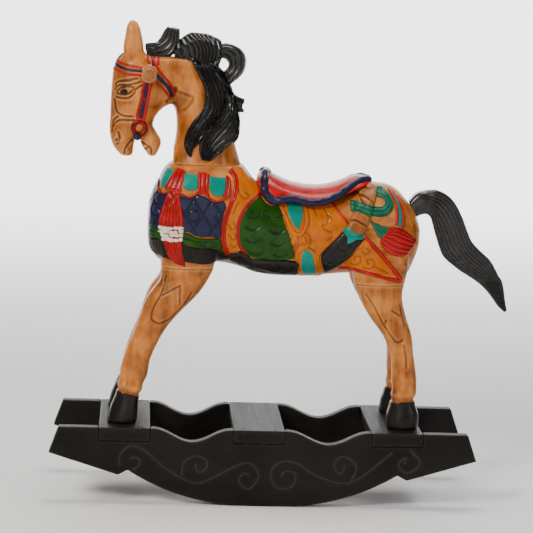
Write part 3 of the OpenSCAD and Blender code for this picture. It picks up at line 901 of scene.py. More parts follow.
def combed(name, guides, ridges, width, depth=1.5, steps=70, across=180, start=0.0, wander=0.25, turn=1,
           rounded=True, nodes=()):
    """A lock of ridged hair. width(along, over, x, z) is how far it stands out sideways, in mm."""
    grid = spread(guides, steps, across, rounded)
    along, over = np.meshgrid(np.linspace(0, 1, steps), np.linspace(0, 1, across), indexing="ij")
    out = width(along, over, grid[..., 0], grid[..., 1])
    points = np.stack([grid[..., 0], -out, grid[..., 1]], axis=-1)
    side_way = np.cross(np.gradient(points, axis=0), np.gradient(points, axis=1))
    side_way /= np.linalg.norm(side_way, axis=-1, keepdims=True) + 1e-9
    side_way *= turn
    phase = math.pi * (ridges * over + wander * np.sin(5 * along + 3 * over) * (over > 0) * (over < 1))
    ridge = np.abs(np.sin(phase))
    room = np.linalg.norm(np.gradient(points, axis=1), axis=-1) * across / ridges
    strength = np.clip(room / 3.5, 0.15, 1) * np.clip((along - start) / 0.08, 0, 1)
    points += side_way * ((ridge ** 0.7 - 0.5) * depth * strength)[..., None]
    points[..., 1] = np.minimum(points[..., 1], 0)
    points = points.reshape(-1, 3) * MM
    faces = [[i * across + j, i * across + j + 1, (i + 1) * across + j + 1, (i + 1) * across + j]
             for i in range(steps - 1) for j in range(across - 1)]
    if turn < 0:
        faces = [f[::-1] for f in faces]
    count = len(points)
    far = [[i + count for i in reversed(f)] for f in faces]
    made = mesh_object(name, np.vstack([points, points * (1, -1, 1)]), faces + far)
    # painted shade: the valleys between the ridges are darkened
    valley_shade = np.clip((0.45 - ridge) * 2.2, 0, 1) * strength
    weather(made, np.tile(valley_shade.ravel(), 2), 2, 0.6)
    return dress(made, PAINTS["hair_paint"], "black_paint", *nodes)


def dome(share, power=2.4):
    """0 at both ends and 1 in the middle, round like the side of an egg."""
    return (1 - np.abs(2 * share - 1) ** power).clip(0) ** (1 / power)


# %% [markdown]
# On top of the neck stand a forelock, a broad crest, a curled loop and a small tuft. Each lock
# has its own guide lines. The crest is held near the frame's own hair, since it is the widest, and
# ridges and rounding still stand up to about a centimetre past the frame.

# %% Forelock, crest, loop and tuft
FORELOCK = [
    [(-248, 875), (-236, 876), (-225, 878), (-217, 890), (-210, 902), (-204, 909)],
    [(-247, 864), (-228, 862), (-212, 871), (-200, 886), (-193, 909)],
    [(-243, 850), (-221, 848), (-203, 850), (-190, 862), (-183, 880), (-183, 906)],
]
CREST = [
    [(-191, 877), (-193, 868), (-192, 860), (-188, 852)],
    [(-176, 890), (-167, 877), (-162, 862), (-164, 848)],
    [(-161, 899), (-148, 883), (-142, 862), (-146, 842)],
    [(-144, 899), (-133, 882), (-128, 862), (-131, 839)],
    [(-126, 897), (-118, 881), (-113, 862), (-119, 836)],
    [(-106, 889), (-101, 877), (-100, 857), (-108, 834)],
]
LOOP = [
    [(-104, 879), (-93, 880), (-78, 877), (-64, 870), (-55, 859), (-52, 844), (-56, 828), (-65, 816),
     (-77, 806), (-90, 796)],
    [(-106, 853), (-98, 852), (-91, 850), (-86, 844), (-85, 838), (-88, 832), (-94, 826), (-100, 822),
     (-98, 813), (-94, 800)],
]
TUFT = [
    [(-92, 793), (-80, 786), (-65, 778), (-51, 772)], [(-92, 777), (-77, 771), (-65, 766), (-55, 761)],
    [(-92, 762), (-77, 759), (-61, 758), (-55, 757)], [(-92, 750), (-77, 749), (-61, 749), (-51, 749)],
]


hair_frame = from_frame("hair_frame", "head_block", "neck_block", "left_mane", "right_mane", "mane_crest",
                        "mane_loop", "mane_tuft")
hair_surface = surface_of(hair_frame)
bpy.data.objects.remove(hair_frame)
HAIR_STANDS = 3.0


def half_width(surface, x, z):
    """How far a surface reaches sideways, in millimetres."""
    flat = np.stack([x.ravel(), z.ravel()], axis=1)
    return np.array([-on_surface(surface, *p).y / MM for p in flat]).reshape(x.shape)


def within_frame(out, x, z):
    """Holds a lock's reach near the frame's own hair and neck. Its ridges still stand out further."""
    limit = half_width(hair_surface, x, z) + HAIR_STANDS
    for _ in range(4):
        limit[1:-1] = (limit[:-2] + 2 * limit[1:-1] + limit[2:]) / 4
        limit[:, 1:-1] = (limit[:, :-2] + 2 * limit[:, 1:-1] + limit[:, 2:]) / 4
    return np.minimum(out, limit)


def round_ends(along, share=0.06):
    """1 along the middle of a lock, closing to 0 at both its ends."""
    near = np.clip(np.minimum(along, 1 - along) / share, 0, 1)
    return np.sqrt(1 - (1 - near) ** 2)


combed("carved_forelock", FORELOCK, 7, lambda s, t, x, z: 17 * dome(t) * round_ends(s), depth=2.4,
       nodes=("forelock",))
combed("carved_mane_crest", CREST, 11,
       lambda s, t, x, z: within_frame(29 * np.sqrt(1 - (1 - s * 0.85) ** 2) * (0.55 + 0.45 * dome(t)), x, z),
       depth=3.4, rounded=False, nodes=("mane_crest",), turn=-1)
combed("carved_mane_loop", LOOP, 6, lambda s, t, x, z: 13 * dome(t) * round_ends(s, 0.03),
       depth=1.8, across=120, nodes=("mane_loop",))
combed("carved_mane_tuft", TUFT, 4, lambda s, t, x, z: 10 * dome(t) * round_ends(s), depth=2,
       steps=40, across=90, nodes=("mane_tuft",))

# %% [markdown]
# The falling mane is two overlapping locks on each side. Each one is bedded on the neck at its
# front edge, swells to the thickness of the frame's mane, and closes over the back of the neck.
# Both locks share the parting, the line where one comes out from under the other.

# %% Falling mane
PARTING = [(-126, 840), (-108, 820), (-97, 802), (-91, 784), (-93, 766), (-100, 748), (-113, 729),
           (-126, 711)]
FRONT_FALL = [
    [(-158, 845), (-144, 820), (-135, 802), (-130, 786), (-131, 766), (-137, 749), (-152, 728), (-163, 706),
     (-166, 687), (-163, 673), (-157, 663)],
    [(-144, 842), (-126, 817), (-115, 793), (-110, 771), (-113, 753), (-126, 733), (-141, 711), (-150, 693),
     (-154, 677), (-157, 663)],
    PARTING + [(-139, 695), (-150, 680), (-156, 663)],
]
REAR_FALL = [
    PARTING + [(-135, 697), (-138, 684), (-136, 666), (-127, 647)],
    [(-115, 839), (-99, 820), (-88, 799), (-80, 775), (-78, 751), (-86, 733), (-99, 717), (-110, 704),
     (-119, 689), (-123, 671), (-126, 647)],
    [(-104, 837), (-89, 817), (-80, 795), (-70, 771), (-64, 748), (-62, 720), (-64, 700), (-75, 686),
     (-91, 677), (-106, 667), (-118, 656), (-125, 647)],
]
MANE_HALF = ([648, 676, 704, 745, 780, 812, 838, 860], [54, 61, 59, 54, 50, 46, 41, 34])


def bedded(rise, neck, mane):
    """From just under the neck's wood up to the mane's full thickness."""
    return neck - 1.5 + (mane - neck + 1.5) * np.sqrt(1 - (1 - np.clip(rise, 0, 1)) ** 2)


def front_fall(s, t, x, z):
    """How far the front lock stands out. It lies over the rear one and thins to a tip on the neck."""
    neck, mane = half_width(head_surface, x, z), np.interp(z, *MANE_HALF) - 1
    out = bedded(t / 0.12, neck, mane)
    free = np.clip((s - 0.68) / 0.1, 0, 1)
    out = out * (1 - free) + free * np.minimum(out, bedded((1 - t) / 0.3, neck, mane))
    tip = np.clip((s - 0.8) / 0.2, 0, 1) ** 1.5
    return within_frame(out * (1 - tip) + tip * np.minimum(out, neck + 3), x, z)


def rear_fall(s, t, x, z):
    """How far the rear lock stands out. It closes over the back of the neck."""
    neck, mane = half_width(head_surface, x, z), np.interp(z, *MANE_HALF) + 1.5
    free = np.clip((s - 0.6) / 0.1, 0, 1)
    out = mane * (1 - free) + free * bedded(t / 0.15, neck, mane)
    behind = np.clip((s - 0.72) / 0.12, 0, 1)
    closing = mane * np.sqrt(1 - np.clip((t - 0.7) / 0.3, 0, 1) ** 2.4)
    resting = bedded((1 - t) / 0.2, neck, mane)
    out = np.minimum(out, closing * (1 - behind) + resting * behind)
    tip = np.clip((s - 0.88) / 0.12, 0, 1) ** 1.5
    return within_frame(out * (1 - tip) + tip * np.minimum(out, neck + 3), x, z)


FALL = dict(depth=4.6, steps=110, across=140, turn=-1, rounded=False)
combed("front_fall_of_mane", FRONT_FALL, 7, front_fall, **FALL)
combed("rear_fall_of_mane", REAR_FALL, 8, rear_fall, nodes=("left_mane", "right_mane"), **FALL)

# %% [markdown]
# The tail is one thick lock that arches back from the rump and ends in a thin tip. It needs only
# its upper and lower edge as guides, and many ridges that wander a little, like combed hair.

# %% Tail
TAIL_TOP = [(276, 586), (284, 596), (294, 603), (307, 606), (324, 607), (338, 604), (351, 597), (362, 587),
            (373, 571), (382, 553), (391, 531), (400, 511), (413, 496), (429, 482), (440, 472), (449, 458),
            (458, 442), (467, 427), (473, 396), (479, 371)]
TAIL_BOTTOM = [(288, 552), (294, 556), (301, 559), (311, 560), (320, 553), (325, 542), (331, 522), (338, 502),
               (344, 487), (353, 473), (380, 452), (400, 440), (420, 427), (436, 413), (449, 398),
               (462, 381), (476, 369)]
TAIL_HALF = ([0, 0.08, 0.3, 0.5, 0.7, 0.88, 1], [19, 21, 24, 26, 23, 13, 3])
combed("carved_tail", [TAIL_TOP, TAIL_BOTTOM], 14,
       lambda s, t, x, z: np.interp(s, *TAIL_HALF) * dome(t, 2.2) * np.minimum(1, np.sqrt((1 - s) / 0.03)),
       depth=2.0, steps=150, across=170, start=0.09, wander=0.5, nodes=("tail",))
print("mane and tail combed")


# %% [markdown]
# ## Relief panels
# Harness, blanket and collar are carved as low relief and then painted. A panel is an outline
# drawn from the side. It is filled with small triangles, laid onto the carving below it,
# raised with a rounded border, and its lines are cut in. The chest and the rump curve away,
# so the flat drawing is first unrolled round them, as cloth would be.

# %% Panel tools
class Ground:
    """A surface that panels lie on, with round ends that the drawing is unrolled over."""

    def __init__(self, things, front, front_radius, back=1e6, back_radius=1.0):
        self.ends = ((front, front_radius, -1), (back, back_radius, 1))
        self.tree = surface_of(*things)

    def unroll(self, flat):
        flat = np.array(flat, float)
        for start, radius, way in self.ends:
            over = (flat[:, 0] - start) * way
            bent = start + way * radius * np.arcsin(np.clip(over / radius, 0, 1))
            flat[:, 0] = np.where(over > 0, bent, flat[:, 0])
        return flat

    def land(self, flat):
        """Drops flat unrolled points onto the surface. Gives their places and outward directions."""
        places, ways = [], []
        for u, z in flat:
            centre, angle = u, 0.0
            for start, radius, way in self.ends:
                if (u - start) * way > 0:
                    centre, angle = start, (u - start) / radius
            out = Vector((math.sin(angle), -math.cos(angle), 0))
            foot = Vector((centre * MM, 0, z * MM))
            hit, normal, _, _ = self.tree.ray_cast(foot + out * 0.4, -out)
            if hit is None:
                hit, normal, _, _ = self.tree.find_nearest(foot + out * 0.07)
            places.append(hit)
            ways.append(normal if normal.dot(out) > 0.05 else out)
        return np.array(places), np.array(ways)


def inside(points, outline):
    found = np.zeros(len(points), bool)
    for (x0, z0), (x1, z1) in zip(outline, np.roll(outline, -1, axis=0)):
        if z0 != z1:
            across = (points[:, 1] > z0) != (points[:, 1] > z1)
            found ^= across & (points[:, 0] < x0 + (points[:, 1] - z0) * (x1 - x0) / (z1 - z0))
    return found


def strip(line, width):
    """The outline of a band along a line."""
    line = even(curve(line, 8), 3.0)
    run = np.gradient(line, axis=0)
    run /= np.linalg.norm(run, axis=1, keepdims=True) + 1e-9
    side_way = np.stack([-run[:, 1], run[:, 0]], axis=1) * (width / 2)
    return [tuple(p) for p in np.vstack([line + side_way, (line - side_way)[::-1]])]


def oval(x, z, reach_x, reach_z, count=20):
    return [(x + reach_x * math.cos(2 * math.pi * i / count), z + reach_z * math.sin(2 * math.pi * i / count))
            for i in range(count)]


BURIED = 1.2
BACK_DEPTH = 3


def raised(name, ground, outlines, height, cuts=(), cut_depth=1.4, cut_width=1.1, border=2.4, cell=2.0,
           soft=True):
    """One piece of low relief from one or more outlines, with lines cut into it.

    It grows from BURIED below the surface up to height, over a rounded border.
    """
    points, faces, shadow = [], [], []
    cuts = [ground.unroll(curve(row)) for row in cuts]
    for outline in outlines:
        edge = curve(outline, 5, closed=True) if soft else np.array(outline, float)
        edge = even(ground.unroll(edge), cell, closed=True)
        low, high = edge.min(0), edge.max(0)
        rows = np.arange(low[1], high[1], cell * 0.87)
        grid = np.array([(x, z) for k, z in enumerate(rows)
                         for x in np.arange(low[0] + (k % 2) * cell / 2, high[0], cell)])
        ring = np.vstack([edge, edge[:1]])
        if len(grid):
            grid = grid[inside(grid, edge)]
        if len(grid):
            grid = grid[distance(grid, ring) > cell * 0.55]
        flat = np.vstack([edge, grid]) if len(grid) else edge
        filled = delaunay_2d_cdt([Vector(p) for p in flat], [], [list(range(len(edge)))], 1, 1e-5)
        flat = np.array([tuple(p) for p in filled[0]])
        triangles = [list(f) for f in filled[2]]
        places, ways = ground.land(flat)
        links = np.array(sorted({tuple(sorted((f[k], f[k - 1]))) for f in triangles for k in range(3)}))
        for _ in range(3):
            ways = 0.4 * ways + 0.6 * neighbour_mean(ways, links, len(ways))
        places = 0.5 * places + 0.5 * neighbour_mean(places, links, len(places))
        ways /= np.linalg.norm(ways, axis=1, keepdims=True)
        away = distance(flat, ring)
        round_edge = np.sqrt(1 - (1 - np.clip(away / border, 0, 1)) ** 2)
        cut = np.zeros(len(flat))
        for row in cuts:
            near = np.all((flat > row.min(0) - 4) & (flat < row.max(0) + 4), axis=1)
            if near.any():
                cut[near] = np.maximum(cut[near], np.exp(-(distance(flat[near], row) / cut_width) ** 2))
        rise = -BURIED + (height + BURIED) * round_edge - cut * cut_depth * round_edge
        first, count = len(points), len(flat)
        top = places + ways * (rise * MM)[:, None]
        points.extend(top)
        points.extend(places - ways * BACK_DEPTH * MM)
        seen = dict.fromkeys(pair for f in triangles for pair in zip(f, f[1:] + f[:1]))
        faces.extend([first + i for i in f] for f in triangles)
        faces.extend([first + count + i for i in reversed(f)] for f in triangles)
        faces.extend([first + b, first + a, first + count + a, first + count + b]
                     for a, b in seen if (b, a) not in seen)
        # painted shade: the cut lines and a dark rim round each panel's border, the cuts with wax as well
        shadow.extend(np.maximum(cut * 0.85, 0.85 * np.exp(-(away / (0.8 + 0.12 * height)) ** 2)))
        shadow.extend(np.zeros(count))
    made = mesh_object(name, points, faces)
    weather(made, np.array(shadow), 2, 0.8)
    return made


def paint_both(name, paint, *shape, **options):
    """A relief piece on the left side and its twin on the right."""
    left = raised("left_" + name, *shape, **options)
    material = WOODS["hilt"] if paint == "wood" else PAINTS[paint]
    dress(left, material, paint)
    dress(mirrored(left, "right_" + name), material, paint)
    return left


# %% [markdown]
# The bridle: a cheek strap with a navy inset, a browband round the forehead, a throat strap,
# and a red ring with a navy ball where the bit comes out of the mouth.

# %% Bridle
face = Ground([head], -275, 37)
STRAP_EDGE = [(-249, 806), (-254, 780), (-258, 760), (-263, 738), (-261, 728), (-252, 724), (-244, 728),
              (-241, 742), (-238, 765), (-234, 786), (-231, 806)]
STRAP_INSET = [(-245, 804), (-249, 780), (-252, 760), (-257, 738), (-250, 733), (-248, 742), (-244, 762),
               (-239, 804)]
paint_both("cheek_strap", "red_paint", face, [STRAP_EDGE], 1.8, border=1.6, cell=1.3,
                    cuts=[STRAP_INSET + STRAP_INSET[:1]], cut_depth=1.4, cut_width=1.0)
paint_both("cheek_strap_inset", "navy_paint", face, [STRAP_INSET], 2.3, border=2.0, cell=1.3,
           cuts=[[(-247, 772), (-241, 762)]])
BROW_LINES = [[(-312, 843), (-300, 838), (-286, 835), (-271, 833), (-252, 830)],
              [(-312, 826), (-304, 824), (-292, 820), (-278, 817), (-252, 816)]]
BROW_MIDDLE = [(-312, 836), (-302, 832), (-286, 827), (-271, 825), (-252, 824)]
paint_both("browband_rims", "red_paint", face, [strip(row, 6) for row in BROW_LINES], 2.2, border=3, cell=1.3)
paint_both("browband", "navy_paint", face, [strip(BROW_MIDDLE, 7)], 1.3, border=3, cell=1.3)
THROAT_LINES = [[(-236, 853), (-223, 830), (-210, 814), (-200, 803), (-192, 790), (-190, 778)],
                [(-224, 803), (-214, 794), (-204, 783), (-196, 773)]]
THROAT_MIDDLE = [(-226, 818), (-210, 803), (-200, 792), (-192, 776)]
CROWN_LINES = [[(-243, 852), (-238, 838)], [(-222, 852), (-222, 836)]]
paint_both("throat_strap_rims", "red_paint", face, [strip(row, 6) for row in THROAT_LINES + CROWN_LINES],
           2.4, border=3, cell=1.3)
CROWN_MIDDLE = [(-232, 853), (-230, 834)]
paint_both("throat_strap", "navy_paint", face, [strip(THROAT_MIDDLE, 9), strip(CROWN_MIDDLE, 9)], 1.4,
           border=3, cell=1.3)

LEAST_LEVEL = 27  # keeps the ring flat where it crosses the open mouth


def bit_ring(name, centre, reach, thickness, side):
    """A flat-backed ring that stands on the cheek."""
    turns, rows = 48, 14
    points, faces = [], []
    for t in range(turns):
        a = 2 * math.pi * t / turns
        spot = (centre[0] + reach * math.cos(a), centre[1] + reach * math.sin(a))
        level = max(abs(on_surface(head_surface, *spot, side).y) / MM, LEAST_LEVEL)
        for r in range(rows):
            b = 2 * math.pi * r / rows
            out = reach + thickness * math.cos(b)
            points.append(((centre[0] + out * math.cos(a)) * MM,
                           side * (level + 0.75 * thickness * math.sin(b)) * MM,
                           (centre[1] + out * math.sin(a)) * MM))
    for t in range(turns):
        for r in range(rows):
            u, v = (t + 1) % turns, (r + 1) % rows
            quad = [t * rows + r, u * rows + r, u * rows + v, t * rows + v]
            faces.append(quad if side > 0 else quad[::-1])
    made = mesh_object(name, points, faces)
    weather(made)
    return dress(made, PAINTS["red_paint"], "red_paint")


for side, hand in SIDES:
    bit_ring(f"{hand}_bit_ring", (-254.8, 714), 12, 4.6, side)
    bead(f"{hand}_bit_ball", Vector((-0.2585, side * 0.029, 0.6975)), (8, 7.6), 7, PAINTS["navy_paint"],
         "navy_paint", side)
print("bridle painted")

# %% [markdown]
# The forehead lock is a thin black wisp that hangs from the poll down the middle of the face.

# %% Forehead lock
WISP = [[(-262, 862), (-285, 858), (-297, 850), (-304, 838), (-308, 822), (-309.5, 805), (-310, 796)],
        [(-262, 852), (-282, 850), (-293, 843), (-300, 832), (-303, 818), (-306, 803), (-309, 796)]]
combed("forehead_lock", WISP, 4, lambda s, t, x, z: 8 * dome(t) * round_ends(s, 0.2), depth=1, steps=40,
       across=60)


# %% [markdown]
# ## Harness on the body
# The lowest layer comes first: orange fields, the green blanket and the navy collar.
# Lines inside them are cut with a small gouge and keep dark wax and painted shade, and each panel has painted
# shade round its border.

# %% Painted fields
FRONT_END, REAR_END = (-150, 81), (215, 84)


def body_ground(*pieces):
    """The body as a surface to lay panels on, together with panels that lie on it already."""
    return Ground([body, *pieces], *FRONT_END, *REAR_END)


ground = body_ground()
FRONT_OCHRE = [(-76, 647), (-66, 650), (-55, 645), (-44, 634), (-34, 622), (-24, 612), (-20, 597), (-36, 585),
               (-48, 570), (-56, 552), (-59, 535), (-58, 516), (-55, 500), (-50, 488), (-60, 483), (-74, 478),
               (-80, 490), (-85, 506), (-86, 525), (-83, 545), (-79, 563), (-72, 579), (-66, 596), (-65, 619)]
FRONT_SWIRLS = [
    [(-62, 606), (-58, 594), (-48, 588), (-42, 594), (-48, 600)], [(-70, 560), (-66, 572), (-60, 580)],
    [(-80, 540), (-72, 528), (-66, 534), (-70, 544)], [(-78, 520), (-70, 508), (-64, 514), (-68, 522)],
    [(-74, 500), (-68, 492), (-62, 496)],
]
REAR_OCHRE = [(68, 584), (90, 582), (108, 583), (120, 585), (134, 566), (149, 548), (146, 536), (132, 520),
              (116, 503), (100, 485), (97, 470), (88, 494), (80, 512), (74, 530), (77, 547), (74, 564)]
REAR_SWIRLS = [
    [(104, 572), (111, 562), (112, 548), (103, 538), (110, 532), (120, 530)], [(111, 562), (120, 556)],
    [(104, 548), (100, 540)], [(84, 572), (90, 560)], [(120, 520), (112, 514)],
]
TRIANGLE = [(147, 464), (165, 492), (183, 519), (200, 502), (222, 478), (243, 450), (220, 449), (180, 455)]
TRIANGLE_SWIRLS = [
    [(157, 470), (168, 466), (178, 472), (176, 482), (166, 482), (168, 475)],
    [(184, 462), (196, 460), (205, 468), (200, 478), (190, 476), (194, 469)],
    [(182, 505), (180, 494), (188, 488), (194, 494), (188, 500)],
    [(206, 464), (220, 458), (232, 452)], [(170, 496), (176, 500)],
]
paint_both("ochre_in_front", "ochre_paint", ground, [FRONT_OCHRE], 1.6, cuts=FRONT_SWIRLS, cut_width=1.4)
paint_both("ochre_behind", "ochre_paint", ground, [REAR_OCHRE], 1.6, cuts=REAR_SWIRLS, cut_width=1.4)
paint_both("ochre_triangle", "ochre_paint", ground, [TRIANGLE], 1.6, cuts=TRIANGLE_SWIRLS, cut_width=1.4)

BLANKET = [(-22, 594), (-10, 582), (6, 575), (18, 575), (24, 560), (30, 541), (38, 524), (44, 508), (48, 490),
           (50, 476), (24, 470), (0, 470), (-33, 474), (-43, 484), (-51, 492), (-58, 508), (-60, 528),
           (-56, 552), (-48, 570), (-36, 585)]
CRESCENTS = [(-31, 556), (7, 556), (-33, 533), (15, 528), (-30, 508), (18, 504), (-24, 483), (22, 481)]
crescents = [[(x - 13, z + 2), (x - 5, z - 3), (x + 5, z - 3), (x + 13, z + 3)] for x, z in CRESCENTS]
paint_both("blanket", "green_paint", ground, [BLANKET], 3.0, cuts=crescents, cut_depth=2.2, cut_width=1.7)

NAVY_FIELD = [(-231, 612), (-216, 601), (-206, 594), (-195, 596), (-184, 600), (-172, 592), (-155, 588),
              (-141, 594), (-126, 592), (-114, 584), (-101, 581), (-90, 584), (-84, 574), (-88, 556),
              (-92, 536), (-94, 508), (-112, 512), (-141, 513), (-156, 520), (-170, 518), (-200, 526),
              (-231, 532)]
DIAMOND = 36
lattice = []
for shift in range(-3 * DIAMOND, 4 * DIAMOND, DIAMOND):
    lattice.append([(-194 + shift, 603), (-128 + shift, 500)])
    lattice.append([(-134 + shift, 603), (-200 + shift, 500)])
rounds = [oval(x, z, 11, 11, 12) for x, z in ((-146, 554), (-93, 552), (-205, 562))]
collar_field = paint_both("collar_field", "navy_paint", ground, [NAVY_FIELD], 3.0,
                          cuts=lattice + [r + r[:1] for r in rounds], cut_depth=2.0, cut_width=1.7)

GREEN_BAND = [(-231, 537), (-213, 531), (-190, 524), (-168, 519), (-156, 521), (-141, 513), (-118, 510),
              (-92, 509), (-90, 483), (-110, 487), (-126, 490), (-145, 491), (-160, 496), (-172, 505),
              (-195, 503), (-213, 505), (-231, 506)]
paint_both("collar_green_band", "green_paint", ground, [GREEN_BAND], 3.0, border=5,
           cuts=[[(-231, 527), (-213, 522), (-168, 512), (-141, 505), (-92, 500)]], cut_width=0.9)
FRINGE = [(-231, 508), (-213, 507), (-172, 507), (-160, 498), (-145, 493), (-120, 491), (-90, 485),
          (-74, 478), (-72, 466), (-82, 464), (-95, 461), (-120, 459), (-141, 460), (-160, 463),
          (-185, 466), (-200, 468), (-212, 470), (-231, 480)]
ribs = [[(x + 6, 506 + min(x + 160, 0) * 0.12), (x + 4, 492), (x, 456)] for x in np.arange(-236, -70, 4.6)]
collar_fringe = paint_both("collar_fringe", "black_paint", ground, [FRINGE], 2.6, cuts=ribs, cut_depth=2.0,
                           cut_width=1.0, border=3)

# %% [markdown]
# The collar's upper row is teal tiles between red fields, and two cuts in each field part it into
# bars. A red bead edges the collar behind and another one edges the blanket in front.

# %% Collar tiles and bars
TILES = [
    [(-219, 638), (-205, 638), (-192, 637), (-197, 620), (-202, 605), (-208, 602), (-214, 606), (-222, 618)],
    [(-169, 633), (-155, 632), (-141, 631), (-139, 616), (-142, 603), (-155, 600), (-168, 605), (-171, 618)],
    [(-118, 629), (-102, 628), (-87, 627), (-86, 612), (-90, 595), (-102, 592), (-115, 597), (-119, 612)],
]
COLLAR_RIM = [(-231, 608), (-217, 600), (-207, 593), (-196, 594), (-183, 600), (-172, 594), (-155, 588),
              (-142, 594), (-128, 597), (-116, 587), (-102, 582), (-88, 587), (-80, 592)]
BAR_FIELDS = [
    [(-194, 640), (-168, 638), (-169, 622), (-172, 606), (-168, 596), (-184, 601), (-203, 600), (-201, 615)],
    [(-140, 636), (-118, 633), (-119, 615), (-118, 598), (-116, 590), (-130, 596), (-143, 596), (-140, 610)],
    [(-88, 631), (-80, 630), (-76, 620), (-75, 600), (-80, 588), (-91, 588), (-87, 610)],
]
BAR_CUTS = [[(-186, 638), (-191, 618), (-196, 600)], [(-176, 637), (-180, 618), (-184, 600)],
            [(-134, 634), (-134, 614), (-135, 597)], [(-125, 633), (-125, 614), (-124, 594)],
            [(-83, 630), (-82, 610), (-86, 590)]]
paint_both("collar_bars", "red_paint", ground, BAR_FIELDS, 2.0, cuts=BAR_CUTS, cell=1.7)
paint_both("collar_tiles", "teal_paint", ground, TILES, 2.8, border=2, cell=1.7)
paint_both("collar_rims", "red_paint", ground, [strip(COLLAR_RIM, 5.5)], 3.0, border=2.6, cell=1.5)
COLLAR_REAR = [(-80, 641), (-70, 631), (-66, 616), (-68, 596), (-75, 579), (-81, 562), (-86, 544), (-88, 524),
               (-87, 506), (-83, 490), (-77, 476)]
BLANKET_FRONT = [(-17, 599), (-28, 590), (-40, 579), (-50, 566), (-57, 550), (-60, 535), (-60, 517),
                 (-56, 500), (-49, 489), (-41, 484)]
paint_both("collar_rear_bead", "red_paint", ground, [strip(COLLAR_REAR, 11)], 3.2, border=4.5, cell=1.6,
           cuts=[COLLAR_REAR], cut_depth=1.8, cut_width=1.1, soft=False)
paint_both("blanket_front_bead", "red_paint", ground, [strip(BLANKET_FRONT, 11)], 3.4, border=4.5, cell=1.6,
           cuts=[[(x + 1.6, z + 0.8) for x, z in BLANKET_FRONT], [(x - 2, z - 1) for x, z in BLANKET_FRONT]],
           cut_depth=1.2, cut_width=0.9, soft=False)
TRIANGLE_RIMS = [[(181, 524), (200, 506), (222, 482), (240, 460), (258, 437)],
                 [(136, 458), (160, 457), (190, 452), (225, 443), (258, 437)]]
FIELD_RIM = [(117, 586), (126, 575), (138, 561), (150, 546)]
paint_both("rear_rims", "red_paint", ground, [strip(row, 9) for row in TRIANGLE_RIMS] + [strip(FIELD_RIM, 7)],
           3.2, border=4.5, cell=1.6, soft=False)
print("fields and collar painted")

# %% [markdown]
# A black bolster and the ochre girth strap lie over the fields, with teal insets in the strap.

# %% Bolster and girth strap
BOLSTER = [(-80, 474), (-74, 482), (-62, 486), (-50, 486), (-41, 482), (-33, 474), (-20, 472), (10, 472),
           (58, 470), (60, 455), (60, 440), (30, 438), (5, 438), (-24, 442), (-43, 450), (-60, 458),
           (-74, 464)]
BOLSTER_CUTS = [[(-34, 472), (-30, 462), (-38, 456), (-50, 460), (-54, 470)],
                [(0, 462), (12, 466), (20, 460), (14, 452), (4, 456)],
                [(26, 450), (38, 452), (46, 460), (40, 466), (32, 462)], [(-20, 452), (-8, 450), (2, 448)]]
paint_both("bolster", "black_paint", ground, [BOLSTER], 5.5, border=8, cuts=BOLSTER_CUTS, cut_width=1.3,
           cut_depth=1.2)
STRAP_TOP = [(14, 580), (20, 566), (28, 552), (32, 538), (37, 527), (44, 519), (54, 517), (62, 518),
             (68, 525), (74, 535), (77, 548), (75, 564), (67, 583), (40, 580)]
STRAP_FOOT = [(60, 504), (53, 494), (49, 482), (54, 466), (57, 450), (58, 438), (82, 437), (108, 439),
              (101, 468), (97, 486), (86, 495), (72, 502)]
STRAP_CUTS = [[(24, 576), (34, 556), (42, 540), (54, 526), (64, 534), (68, 552), (64, 572)],
              [(58, 488), (54, 482)], [(66, 440), (58, 466), (62, 490), (80, 496), (92, 480), (100, 445)]]
paint_both("girth_strap", "ochre_paint", ground, [STRAP_TOP, STRAP_FOOT], 3.0, border=4, cell=1.6,
           cuts=STRAP_CUTS, cut_width=0.9, cut_depth=1.0)
INSETS = [[(31, 582), (45, 580), (60, 580), (64, 568), (65, 556), (61, 543), (56, 531), (48, 536), (40, 546),
           (35, 556), (32, 568)],
          [(68, 494), (78, 493), (86, 485), (90, 468), (95, 452), (94, 444), (82, 443), (69, 444), (64, 456),
           (62, 470), (63, 484)]]
paint_both("strap_insets", "teal_paint", ground, INSETS, 4.2, border=2.4, cell=1.5)
KNOTS = [oval(49, 510, 9, 13, 12), oval(71, 512, 12, 14, 12)]
KNOT_CUTS = [[(42, 504), (48, 500), (53, 508)], [(64, 506), (68, 503), (72, 508), (69, 518), (63, 520)],
             [(76, 506), (78, 514), (74, 522)], [(60, 522), (59.5, 515), (60, 506)]]
paint_both("strap_knot", "ochre_paint", ground, KNOTS, 4.5, border=6, cell=1.4, cuts=KNOT_CUTS, cut_width=1.2,
           cut_depth=2.2, soft=False)

# %% [markdown]
# Behind the saddle hangs a sword: a black sheath with a teal collar, a wooden hilt, and a green
# ribbon wound round it that ends in a red tassel.

# %% Sword, ribbon and rear tassel
SHEATH = [(143, 532), (130, 519), (114, 502), (101, 486), (101, 470), (105, 458), (109, 446), (120, 450),
          (132, 458), (146, 470), (160, 484), (172, 503), (183, 520), (164, 526)]
SHEATH_CUTS = [[(112, 474), (120, 470), (128, 476), (124, 488), (132, 498), (144, 496), (148, 488),
                (142, 482), (136, 486)], [(118, 484), (124, 494), (134, 504)], [(150, 512), (158, 502)]]
sheath = paint_both("sheath", "black_paint", ground, [SHEATH], 6.0, border=9, cuts=SHEATH_CUTS, cut_width=1.3,
                    cut_depth=1.6)
HILT = [(143, 530), (150, 546), (157, 562), (163, 578), (168, 594), (168, 608), (171, 619), (180, 626),
        (193, 626), (203, 621), (208, 610), (206, 598), (201, 584), (196, 568), (191, 550), (184, 533),
        (172, 524), (156, 522)]
HILT_CUTS = [[(166, 604), (176, 608), (190, 606), (202, 610)], [(168, 612), (178, 617), (192, 614)],
             [(180, 622), (186, 616), (200, 616)], [(162, 570), (176, 568), (194, 560)],
             [(170, 596), (184, 592), (200, 584)], [(154, 552), (168, 551), (188, 542)],
             [(172, 600), (176, 588), (184, 578)]]
